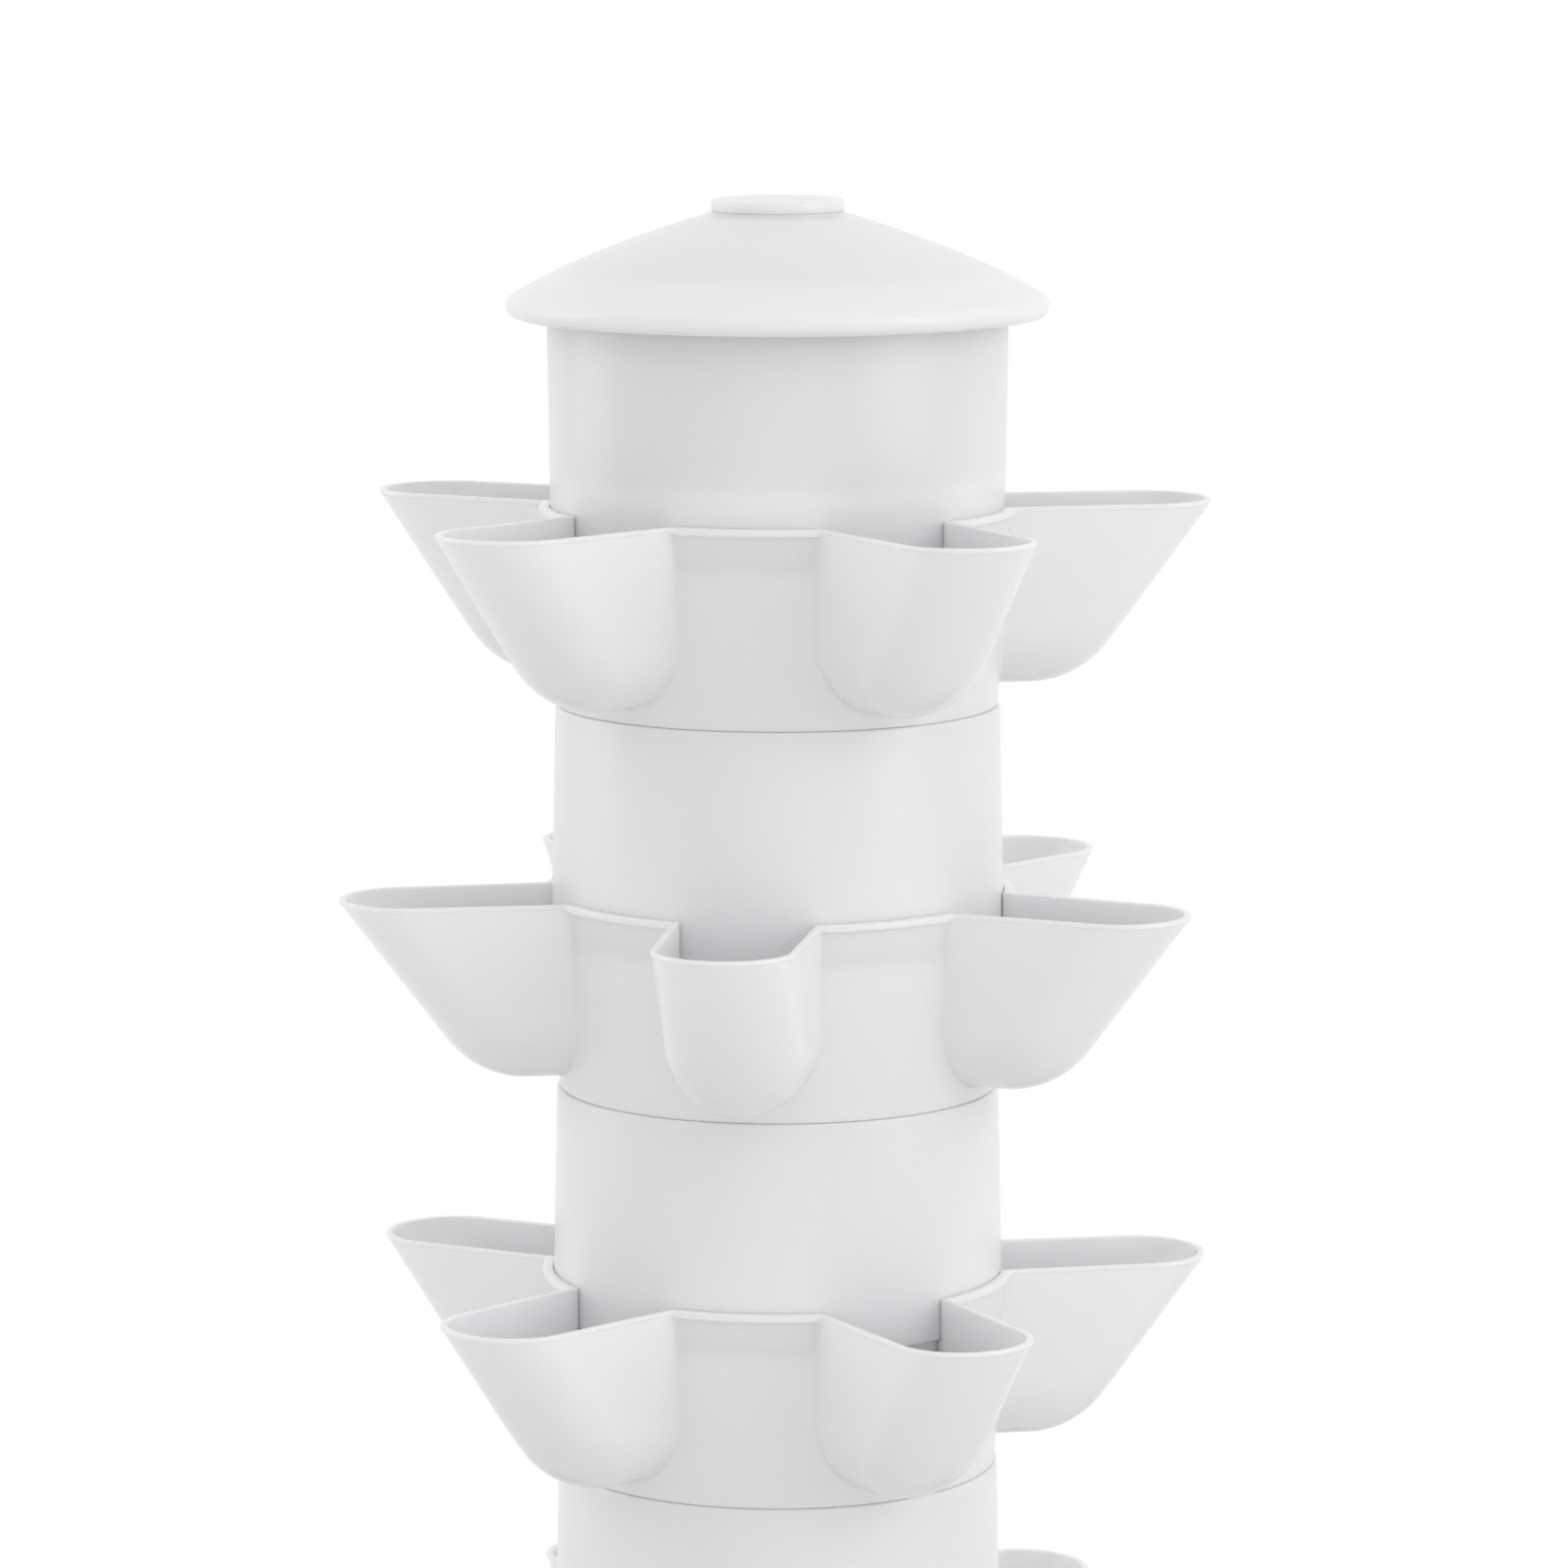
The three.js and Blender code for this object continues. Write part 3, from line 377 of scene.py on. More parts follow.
def slab(x_range, y_range, z_range, corner, edge):
    """A block with rounded upright corners and rounded edges at its top and bottom."""
    middle = Vector(((x_range[0] + x_range[1]) / 2, (y_range[0] + y_range[1]) / 2, 0))
    half_x = (x_range[1] - x_range[0]) / 2
    half_y = (y_range[1] - y_range[0]) / 2

    def level(height, inset):
        soft = max(corner - inset, 0.02)
        loop = []
        for quarter, (side_x, side_y) in enumerate(((1, 1), (-1, 1), (-1, -1), (1, -1))):
            centre = Vector((side_x * (half_x - inset - soft), side_y * (half_y - inset - soft), height))
            for k in range(CORNER_STEPS + 1):
                angle = (quarter + k / CORNER_STEPS) * math.pi / 2
                spoke = Vector((math.cos(angle), math.sin(angle), 0)) * soft
                loop.append(middle + centre + spoke)
        return loop

    bends = [math.pi / 2 * k / CORNER_STEPS for k in range(CORNER_STEPS + 1)]
    low = [level(z_range[0] + edge * (1 - math.sin(a)), edge * (1 - math.cos(a))) for a in reversed(bends)]
    high = [level(z_range[1] - edge * (1 - math.sin(a)), edge * (1 - math.cos(a))) for a in bends]
    surface = Surface()
    surface.grid([loop + loop[:1] for loop in low + high])
    surface.polygon(low[0][::-1])
    surface.polygon(high[-1])
    return surface.mesh()


def placed(mesh, offset=(0, 0, 0), turn=(0, 0, 0)):
    """Turns a mesh by angles in radians, then moves it by millimetres."""
    mesh.transform(Matrix.Translation(Vector(offset) * MM) @ Euler(turn).to_matrix().to_4x4())
    return mesh


ALONG_Y = (-math.pi / 2, 0, 0)
TOWARDS_FRONT = (math.pi / 2, 0, 0)


def linked(name, content):
    """A new object in the scene."""
    made = bpy.data.objects.new(name, content)
    bpy.context.scene.collection.objects.link(made)
    return made


def taken_from(holder):
    """The mesh that an object's modifiers make, after which the object is gone."""
    bpy.context.view_layer.update()
    seen = holder.evaluated_get(bpy.context.evaluated_depsgraph_get())
    made = bpy.data.meshes.new_from_object(seen)
    holder.modifiers.clear()
    bpy.data.objects.remove(holder)
    return made


def carved(base, added=(), removed=()):
    """A mesh with others joined to it and cut from it."""
    holder = linked("blank", base)
    tools = [("UNION", mesh) for mesh in added] + [("DIFFERENCE", mesh) for mesh in removed]
    others = []
    for operation, mesh in tools:
        other = linked("tool", mesh)
        other.hide_render = True
        step = holder.modifiers.new(operation, "BOOLEAN")
        step.operation = operation
        step.solver = "EXACT"
        step.object = other
        others.append(other)
    made = taken_from(holder)
    for other in others:
        bpy.data.objects.remove(other)
    return rewelded(made, closed=False)


# Node trees

def put(tree, socket, value):
    """Links another node's output to an input, or writes a plain value in it."""
    if isinstance(value, bpy.types.NodeSocket):
        tree.links.new(value, socket)
    else:
        socket.default_value = value


def fill(tree, node, **named):
    """Puts values or outputs in a node's inputs, which are named with _ in place of spaces."""
    for label, value in named.items():
        put(tree, node.inputs[label.replace("_", " ")], value)


def add_node(tree, kind, *values, settings=None, **named):
    """A new node. Its inputs are filled in order by the plain values, and by name by the others."""
    node = tree.nodes.new(kind)
    for label, value in (settings or {}).items():
        setattr(node, label, value)
    for socket, value in zip(node.inputs, values):
        put(tree, socket, value)
    fill(tree, node, **named)
    return node


def number(tree, operation, *values):
    """The output of a math node."""
    return add_node(tree, "ShaderNodeMath", *values, settings={"operation": operation}).outputs[0]


def vector(tree, operation, *values, **named):
    """The output of a vector math node."""
    node = add_node(tree, "ShaderNodeVectorMath", *values, settings={"operation": operation}, **named)
    return node.outputs["Value" if operation in ("DOT_PRODUCT", "LENGTH") else "Vector"]


def noise(tree, place, scale, detail, **named):
    node = add_node(tree, "ShaderNodeTexNoise", Vector=place, Scale=scale, Detail=detail, **named)
    return node.outputs["Fac"]


SMOOTH = {"interpolation_type": "SMOOTHSTEP"}


def new_group(name, tree_kind, inputs, outputs):
    """A node group; its inputs and its outputs are given by their names and kinds."""
    group = bpy.data.node_groups.new(name, tree_kind)
    for way, sockets in (("INPUT", inputs), ("OUTPUT", outputs)):
        for label, kind in sockets.items():
            group.interface.new_socket(label, in_out=way, socket_type="NodeSocket" + kind)
    return group, group.nodes.new("NodeGroupInput").outputs


# Repeats, by Geometry Nodes

def new_tree(name, sizes):
    """A modifier's tree, which starts from a pattern and ends with its copies."""
    sizes = {"Pattern": "Geometry", **sizes, "Material": "Material"}
    tree, inputs = new_group(name, "GeometryNodeTree", sizes, {"Result": "Geometry"})
    tree.is_modifier = True
    return tree, inputs


def end_tree(tree, inputs, spots, weld=None, **turn):
    """Puts copies on the spots, welds them where they meet and gives them their material."""
    copies = add_node(tree, "GeometryNodeInstanceOnPoints", spots, Instance=inputs["Pattern"], **turn)
    whole = add_node(tree, "GeometryNodeRealizeInstances", copies.outputs[0]).outputs[0]
    if weld:
        whole = add_node(tree, "GeometryNodeMergeByDistance", whole, Distance=weld).outputs[0]
    coat = add_node(tree, "GeometryNodeSetMaterial", whole, Material=inputs["Material"])
    add_node(tree, "NodeGroupOutput", Result=coat.outputs[0])
    return tree


def round_tree():
    """Copies of a pattern turned evenly about the column's axis and welded to one another."""
    sizes = {"Count": "Int", "Start Angle": "Float", "Weld Distance": "Float"}
    tree, inputs = new_tree("around the column", sizes)
    spots = add_node(tree, "GeometryNodePoints", Count=inputs["Count"]).outputs[0]
    index = add_node(tree, "GeometryNodeInputIndex").outputs["Index"]
    share = number(tree, "DIVIDE", index, inputs["Count"])
    angle = number(tree, "MULTIPLY_ADD", share, 2 * math.pi, inputs["Start Angle"])
    upright = add_node(tree, "ShaderNodeCombineXYZ", Z=angle).outputs[0]
    turn = add_node(tree, "FunctionNodeEulerToRotation", upright).outputs[0]
    return end_tree(tree, inputs, spots, inputs["Weld Distance"], Rotation=turn)


def row_tree():
    """Copies of a pattern in a straight row, centred on the pattern's own place."""
    tree, inputs = new_tree("row along X", {"Count": "Int", "Pitch": "Float"})
    span = number(tree, "MULTIPLY", number(tree, "SUBTRACT", inputs["Count"], 1), inputs["Pitch"])
    start = add_node(tree, "ShaderNodeCombineXYZ", X=number(tree, "MULTIPLY", span, -0.5)).outputs[0]
    step = add_node(tree, "ShaderNodeCombineXYZ", X=inputs["Pitch"]).outputs[0]
    line = add_node(tree, "GeometryNodeMeshLine", Count=inputs["Count"], Start_Location=start, Offset=step)
    return end_tree(tree, inputs, line.outputs["Mesh"])


def repeated(tree, pattern, **sizes):
    """The plain mesh that a tree makes of a pattern; sizes are named as the tree's inputs."""
    holder = linked("blank", pattern)
    growth = holder.modifiers.new(tree.name, "NODES")
    growth.node_group = tree
    labels = {item.name: item.identifier for item in tree.interface.items_tree if item.in_out == "INPUT"}
    for label, value in sizes.items():
        growth[labels[label.replace("_", " ")]] = value
    return taken_from(holder)


around_column = round_tree()
along_row = row_tree()


def ring_of(pattern, count, slot, start=0.0):
    sizes = {"Count": count, "Start_Angle": start, "Weld_Distance": WELD * MM, "Material": finishes[slot]}
    return repeated(around_column, pattern, **sizes)


# Finishes

FLOW_STRETCH = (9, 9, 2.6)
GRAIN_IN_GLOSS = 0.35
PLASTIC_IOR = 1.49
MILKY_REACH = 0.009
LINE_SHADE = 0.9
LINE_DEPTH = 0.2


def moulded_skin():
    """Tone that drifts with the mould's flow, and a fine grain, for every moulded surface."""
    drifts = {"Tone Drift": "Float", "Roughness": "Float", "Roughness Drift": "Float"}
    sizes = {"Tone": "Color", **drifts, "Grain Size": "Float"}
    results = {"Tone": "Color", "Roughness": "Float", "Height": "Float"}
    group, inputs = new_group("moulded skin", "ShaderNodeTree", sizes, results)
    place = add_node(group, "ShaderNodeTexCoord").outputs["Object"]
    flow_place = add_node(group, "ShaderNodeMapping", Vector=place, Scale=FLOW_STRETCH).outputs[0]
    flow = noise(group, flow_place, 1, 4, Roughness=0.45)
    grain = noise(group, place, number(group, "DIVIDE", 1, inputs["Grain Size"]), 2)

    def around_one(amount, source):
        return number(group, "MULTIPLY_ADD", number(group, "SUBTRACT", source, 0.5), amount, 1)

    patches = number(group, "MULTIPLY_ADD", grain, GRAIN_IN_GLOSS, flow)
    gloss_share = around_one(inputs["Roughness Drift"], patches)
    add_node(
        group,
        "NodeGroupOutput",
        Tone=vector(group, "SCALE", inputs["Tone"], Scale=around_one(inputs["Tone Drift"], flow)),
        Roughness=number(group, "MULTIPLY", inputs["Roughness"], gloss_share),
        Height=grain,
    )
    return group


def fine_lines():
    """Fine lines left by drawing or grinding, along one axis of the object."""
    sizes = {"Stretch": "Vector", "Roughness": "Float", "Depth": "Float"}
    results = {"Roughness": "Float", "Height": "Float"}
    group, inputs = new_group("fine lines", "ShaderNodeTree", sizes, results)
    place = add_node(group, "ShaderNodeTexCoord").outputs["Object"]
    lines = noise(group, vector(group, "MULTIPLY", place, inputs["Stretch"]), 1, 3)
    spread = number(group, "MULTIPLY_ADD", lines, inputs["Depth"], inputs["Roughness"])
    add_node(group, "NodeGroupOutput", Roughness=spread, Height=lines)
    return group


skin_group = moulded_skin()
lines_group = fine_lines()


def blank_material(name):
    material = bpy.data.materials.new(name)
    material.use_nodes = True
    tree = material.node_tree
    tree.nodes.clear()
    shader = add_node(tree, "ShaderNodeBsdfPrincipled")
    add_node(tree, "ShaderNodeOutputMaterial", Surface=shader.outputs[0])
    return material, tree, shader


def dress(tree, shader, tone, skin, bump, **others):
    """Gives a shader its tone, and the roughness and the height that a group makes."""
    normal = add_node(tree, "ShaderNodeBump", Distance=bump, Height=skin.outputs["Height"]).outputs[0]
    fill(tree, shader, Base_Color=tone, Roughness=skin.outputs["Roughness"], Normal=normal, **others)


def moulded(name, tone, roughness, drift=0.02, roughness_drift=0.25, grain=0.0008, bump=5e-6, milky=0):
    material, tree, shader = blank_material(name)
    values = ((*tone, 1), drift, roughness, roughness_drift, grain)
    skin = add_node(tree, "ShaderNodeGroup", *values, settings={"node_tree": skin_group})
    dress(tree, shader, skin.outputs["Tone"], skin, bump, IOR=PLASTIC_IOR, Subsurface_Weight=milky)
    fill(tree, shader, Subsurface_Radius=(1, 1, 1), Subsurface_Scale=MILKY_REACH)
    return material


def drawn(name, tone, stretch, roughness, metallic, bump=4e-6):
    material, tree, shader = blank_material(name)
    values = (stretch, roughness, LINE_DEPTH)
    lines = add_node(tree, "ShaderNodeGroup", *values, settings={"node_tree": lines_group})
    darker = [LINE_SHADE * part for part in tone]
    shade = add_node(tree, "ShaderNodeMixRGB", lines.outputs["Height"], (*darker, 1), (*tone, 1))
    dress(tree, shader, shade.outputs[0], lines, bump, Metallic=metallic)
    return material


white_tone = (0.92, 0.917, 0.932)
finishes = {
    "white_plastic": moulded("white moulded plastic", white_tone, 0.25, 0.01, 0.1, bump=2e-6, milky=0.32),
    "tank_plastic": moulded("tank plastic", (0.77, 0.778, 0.8), 0.48, 0.03, grain=0.0012, bump=2e-5),
    "pipe_plastic": moulded("grey pipe plastic", (0.66, 0.675, 0.7), 0.4, 0.03),
    "pump_plastic": moulded("black pump plastic", (0.02, 0.022, 0.025), 0.45, 0.2, grain=0.0005, bump=3e-5),
    "magnet": moulded("magnet block", (0.045, 0.047, 0.052), 0.35, 0.3, grain=0.0004, bump=1e-5),
    "soft_rubber": moulded("soft rubber", (0.024, 0.024, 0.026), 0.75, 0.25, grain=0.0006, bump=4e-5),
    "ceramic_rod": drawn("ceramic rod", (0.88, 0.86, 0.8), (60, 900, 60), 0.16, 0.0),
    "steel_pin": drawn("steel pin", (0.56, 0.57, 0.58), (800, 800, 800), 0.24, 1.0),
}


# Pieces

def piece(name, mesh, slot, body, node):
    """One visible piece that has a slot's finish, moves with a body and stands for a CAD node."""
    mesh.name = name
    mesh.materials.clear()
    mesh.materials.append(finishes[slot])
    mesh.shade_smooth()
    mesh.set_sharp_from_angle(angle=SMOOTH_ANGLE)
    made = linked(name, mesh)
    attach(made, body)
    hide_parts(node)


# Rings of pockets

# The U of a pocket runs down beside the pocket, then round below it. These angles are measured along
# the round, and each has the place where its line meets the ring's foot or the middle between pockets.
VALLEY_ANGLE = 180 / POCKETS
UPPER_BENDS = 6
FOOT_ANGLES = (36, 31, 26, 21.7, 17.3, 13, 8.7, 4.3, 0)
BEND_SPOTS = [
    (45 * k / UPPER_BENDS, VALLEY_ANGLE, k / UPPER_BENDS) for k in range(UPPER_BENDS)
] + [
    (45 + 45 * k / (len(FOOT_ANGLES) - 1), angle, 1) for k, angle in enumerate(FOOT_ANGLES)
]
COLUMN_STEPS = 8
SIDE_STEPS = 8
NOSE_STEPS = 14
FILLET_STEPS = 4
STRAIGHT_ROWS = 9

# The rim from outside to inside: depth, inset of the pocket's skin, radius of the column's skin
RIM_ROWS = (
    (3.7, 0, 88.75),
    (3.2, 0, 88.95),
    (2.95, 0, 89.5),
    (2.75, 0, 90.4),
    (2.3, 0, 90.8),
    (1.75, -0.1, 90.8),
    (1.5, -0.48, 90.8),
    (1.2, -0.55, 90.8),
    (0.55, -0.5, 90.65),
    (0.15, -0.25, 90.2),
    (0, 0.2, 89.6),
    (0, 1.6, 87.3),
    (0.15, 1.95, 86.85),
    (0.4, 2.2, 86.65),
    (0.9, POCKET_WALL, SOCKET_RADIUS),
)


def keel_reach(depth, inset):
    """How far a pocket's nose reaches at a depth: upright at the rim, leaning in, then rounding."""
    slope = math.tan(KEEL_LEAN)
    start = KEEL_START - inset / math.cos(KEEL_LEAN)
    bend = KEEL_ROUND - inset
    middle_depth = POCKET_DEPTH - KEEL_ROUND
    touch_depth = middle_depth + bend * math.sin(KEEL_LEAN)
    if depth <= touch_depth:
        return min(POCKET_REACH - inset, start - depth * slope)
    middle_reach = start - touch_depth * slope - bend * math.cos(KEEL_LEAN)
    drop = min(1, (depth - middle_depth) / bend)
    return middle_reach + bend * math.sqrt(1 - drop * drop)


def outer_radius(depth):
    return RING_TOP_RADIUS + (RING_FOOT_RADIUS - RING_TOP_RADIUS) * depth / RING_HEIGHT


def inner_radius(depth):
    high = SOCKET_RADIUS - SOCKET_LEDGE
    low = outer_radius(RING_HEIGHT - FLOOR_THICKNESS) - RING_WALL
    share = (depth - SOCKET_DEPTH) / (RING_HEIGHT - FLOOR_THICKNESS - SOCKET_DEPTH)
    return high + (low - high) * share


def skin_row(depth, bend, inset, radius_at, edge_angle, edge_depth, fillet):
    """One row of a half pocket's skin, from the edge of the column's share to the nose's tip."""
    narrow = math.cos(bend)
    reach = keel_reach(depth, inset)
    nose = (NOSE_LENGTH - inset) * narrow
    shoulder = reach - nose
    root_half = (POCKET_HALF_WIDTH - inset) * narrow
    nose_half = (NOSE_HALF_WIDTH - inset) * narrow

    def side(x):
        half = root_half + (nose_half - root_half) * (x - POCKET_ROOT) / (shoulder - POCKET_ROOT)
        return Vector((x, half, RING_HEIGHT - depth))

    radius = radius_at(depth)
    joint = side(radius)
    for _ in range(5):
        joint = side(math.sqrt(radius * radius - joint.y * joint.y))
    angle = math.atan2(joint.y, joint.x) + fillet * math.cos(bend) / radius
    fillet_depth = depth + fillet * math.sin(bend)
    row = []
    for k in range(COLUMN_STEPS):
        share = k / COLUMN_STEPS
        here = edge_depth + (fillet_depth - edge_depth) * share
        row.append(polar(radius_at(here), edge_angle + (angle - edge_angle) * share, RING_HEIGHT - here))
    first = polar(radius_at(fillet_depth), angle, RING_HEIGHT - fillet_depth)
    last = side(joint.x + fillet)
    for k in range(FILLET_STEPS):
        share = k / FILLET_STEPS
        row.append(first * (1 - share) ** 2 + joint * (2 * share * (1 - share)) + last * share**2)
    for k in range(SIDE_STEPS):
        row.append(side(last.x + (shoulder - last.x) * k / SIDE_STEPS))
    for k in range(NOSE_STEPS + 1):
        turn = math.pi / 2 * k / NOSE_STEPS
        tip = 0 if k == NOSE_STEPS else nose_half * math.cos(turn)
        row.append(Vector((shoulder + nose * math.sin(turn), tip, RING_HEIGHT - depth)))
    return row


def wall_rows(inset, half_width, radius_at, foot_depth, top_depth, fillet):
    """The rows of one skin of a half pocket, from under its rim down to the keel."""
    rows = []
    for k in range(STRAIGHT_ROWS):
        depth = top_depth + (STRAIGHT_DEPTH - top_depth) * k / STRAIGHT_ROWS
        rows.append(skin_row(depth, 0, inset, radius_at, math.radians(VALLEY_ANGLE), depth, fillet))
    for bend, edge_angle, share in BEND_SPOTS:
        turn = math.radians(bend)
        depth = STRAIGHT_DEPTH + half_width * math.sin(turn)
        edge_depth = STRAIGHT_DEPTH + (foot_depth - STRAIGHT_DEPTH) * share
        rows.append(skin_row(depth, turn, inset, radius_at, math.radians(edge_angle), edge_depth, fillet))
    return rows


def half_pocket(surface):
    foot_depth = RING_HEIGHT - RING_FOOT_BEVEL
    floor_depth = RING_HEIGHT - FLOOR_THICKNESS
    outside = wall_rows(0, POCKET_HALF_WIDTH, outer_radius, foot_depth, RIM_ROWS[0][0], OUTER_FILLET)
    valley = math.radians(VALLEY_ANGLE)
    rim = []
    for depth, inset, radius in RIM_ROWS[1:]:
        blend = inset / POCKET_WALL
        fillet = OUTER_FILLET + (INNER_FILLET - OUTER_FILLET) * blend
        rim.append(skin_row(depth, 0, inset, lambda _, r=radius: r, valley, depth, fillet))
    socket = [
        skin_row(depth, 0, POCKET_WALL, lambda _: SOCKET_RADIUS, valley, depth, INNER_FILLET)
        for depth in (SOCKET_DEPTH / 2, SOCKET_DEPTH - 0.1)
    ]
    inner_half = POCKET_HALF_WIDTH - POCKET_WALL
    inside = wall_rows(POCKET_WALL, inner_half, inner_radius, floor_depth, SOCKET_DEPTH + 0.1, INNER_FILLET)
    surface.grid(outside[::-1] + rim + socket + inside)


def half_floor(surface):
    """The ring's foot, spigot, floor with its window, and the hub round the riser."""
    foot = outer_radius(RING_HEIGHT - RING_FOOT_BEVEL)
    soft = EDGE_ROUND
    spigot_inner = SPIGOT_RADIUS - SPIGOT_WALL
    under = [(r, 0) for r in (spigot_inner, 74, *WINDOW_RADII, 19)]
    over = [(r, FLOOR_THICKNESS) for r in (19, *reversed(WINDOW_RADII), 76)]
    chain = [
        (foot, RING_FOOT_BEVEL),
        (foot - 0.3, RING_FOOT_BEVEL * 0.3),
        (RING_FOOT_RADIUS - RING_FOOT_BEVEL, 0),
        (SPIGOT_RADIUS, 0),
        (SPIGOT_RADIUS, soft - SPIGOT_DEPTH),
        (SPIGOT_RADIUS - soft, -SPIGOT_DEPTH),
        (spigot_inner + soft, -SPIGOT_DEPTH),
        (spigot_inner, soft - SPIGOT_DEPTH),
        *under,
        (HUB_RADIUS, 0),
        (HUB_RADIUS, soft - SPIGOT_DEPTH),
        (HUB_RADIUS - soft, -SPIGOT_DEPTH),
        (HUB_BORE + soft, -SPIGOT_DEPTH),
        (HUB_BORE, soft - SPIGOT_DEPTH),
        (HUB_BORE, HUB_HEIGHT - soft),
        (HUB_BORE + soft, HUB_HEIGHT),
        (HUB_RADIUS - soft, HUB_HEIGHT),
        (HUB_RADIUS, HUB_HEIGHT - soft),
        (HUB_RADIUS, FLOOR_THICKNESS),
        *over,
        (inner_radius(RING_HEIGHT - FLOOR_THICKNESS), FLOOR_THICKNESS),
    ]
    spoke = [math.radians(angle) for angle in FOOT_ANGLES if angle >= WINDOW_HALF_ANGLE]
    open_angles = [math.radians(angle) for angle in FOOT_ANGLES if angle <= WINDOW_HALF_ANGLE]
    surface.grid([[polar(r, angle, z) for angle in spoke] for r, z in chain])
    outer, inner = WINDOW_RADII[0], WINDOW_RADII[-1]
    first, second = (chain.index((r, 0)) for r in (outer, inner))
    third, fourth = (chain.index((r, FLOOR_THICKNESS)) for r in (inner, outer))
    for part in (chain[: first + 1], chain[second : third + 1], chain[fourth:]):
        surface.grid([[polar(r, angle, z) for angle in open_angles] for r, z in part])
    for radius in (outer, inner):
        surface.grid([[polar(radius, angle, z) for angle in open_angles] for z in (0, FLOOR_THICKNESS)])
    surface.grid([[polar(r, spoke[-1], z) for r in WINDOW_RADII] for z in (0, FLOOR_THICKNESS)])


def pocket_sector():
    """A fifth of a ring, centred on +X: the half that is worked out and its mirror image."""
    half = Surface()
    half_pocket(half)
    half_floor(half)
    whole = Surface()
    whole.points = half.points + [(x, -y, z) for x, y, z in half.points]
    shift = len(half.points)
    whole.faces = half.faces + [tuple(i + shift for i in face[::-1]) for face in half.faces]
    return whole.mesh(closed=False)


def pocket_rings():
    for tier, seam in enumerate(SEAMS, 1):
        start = -math.pi / 2 + (math.pi / POCKETS if tier % 2 == 0 else 0)
        mesh = rewelded(ring_of(pocket_sector(), POCKETS, "white_plastic", start))
        placed(mesh, (0, 0, seam))
        name = f"pocket_ring_{tier}"
        piece(f"ring_of_pockets_{tier}", mesh, "white_plastic", name, name)


# Drums

def drum_outline(top_radius, height, ledge=()):
    return [
        (DRUM_SPIGOT_RADIUS - SPIGOT_WALL, -DRUM_SPIGOT_DEPTH, 0.4),
        (DRUM_SPIGOT_RADIUS, -DRUM_SPIGOT_DEPTH, 0.6),
        (DRUM_SPIGOT_RADIUS, 0, 0.3),
        (DRUM_FOOT_RADIUS, 0, 0.6),
        (DRUM_FOOT_RADIUS, SOCKET_DEPTH, 6),
        (top_radius, height, DRUM_ROUND),
        (top_radius - DRUM_WALL, height, 0.5),
        *ledge,
    ]


def drums():
    for tier, seam in enumerate(SEAMS[:-1], 1):
        mesh = turned(drum_outline(DRUM_TOP_RADIUS, DRUM_HEIGHT))
        placed(mesh, (0, 0, seam + DRUM_LOW))
        piece(f"drum_wall_{tier}", mesh, "white_plastic", f"drum_{tier}", f"drum_{tier}")
    slope = (CROWN_TOP_RADIUS - DRUM_FOOT_RADIUS) / CROWN_HEIGHT
    inner = DRUM_FOOT_RADIUS - DRUM_WALL + slope * LEDGE_HEIGHT
    ledge = (
        (inner, LEDGE_HEIGHT, 0.5),
        (inner - LEDGE_REACH, LEDGE_HEIGHT, 0.5),
        (inner - LEDGE_REACH, LEDGE_HEIGHT - LEDGE_THICKNESS, 0.5),
        (inner, LEDGE_HEIGHT - LEDGE_THICKNESS - LEDGE_REACH, 0.8),
    )
    mesh = turned(drum_outline(CROWN_TOP_RADIUS, CROWN_HEIGHT, ledge))
    placed(mesh, (0, 0, SEAMS[-1] + DRUM_LOW))
    piece("crown_drum_wall", mesh, "white_plastic", "top_drum", "top_drum")


# Lid and cap

def dome_points(inset):
    end = Vector((
        LID_RADIUS - BRIM_ROUND + BRIM_ROUND * math.cos(BRIM_ROUND_ANGLE),
        BRIM_ROUND + BRIM_ROUND * math.sin(BRIM_ROUND_ANGLE),
    ))
    start = Vector((LID_TOP_RADIUS, LID_RISE))
    bend = Vector((
        start.x + (end.x - start.x) * DOME_BEND_REACH,
        end.y + (start.y - end.y) * (1 - DOME_BEND_RISE),
    ))
    made = []
    for k in range(DOME_STEPS + 1):
        t = k / DOME_STEPS
        along = ((bend - start) * (1 - t) + (end - bend) * t).normalized()
        point = start * (1 - t) ** 2 + bend * (2 * t * (1 - t)) + end * t**2
        made.append((point.x + along.y * inset, point.y - along.x * inset))
    return made


def height_on(points, radius):
    for (r0, z0), (r1, z1) in zip(points, points[1:]):
        if r0 <= radius <= r1:
            return z0 + (z1 - z0) * (radius - r0) / (r1 - r0)
    return points[-1][1]


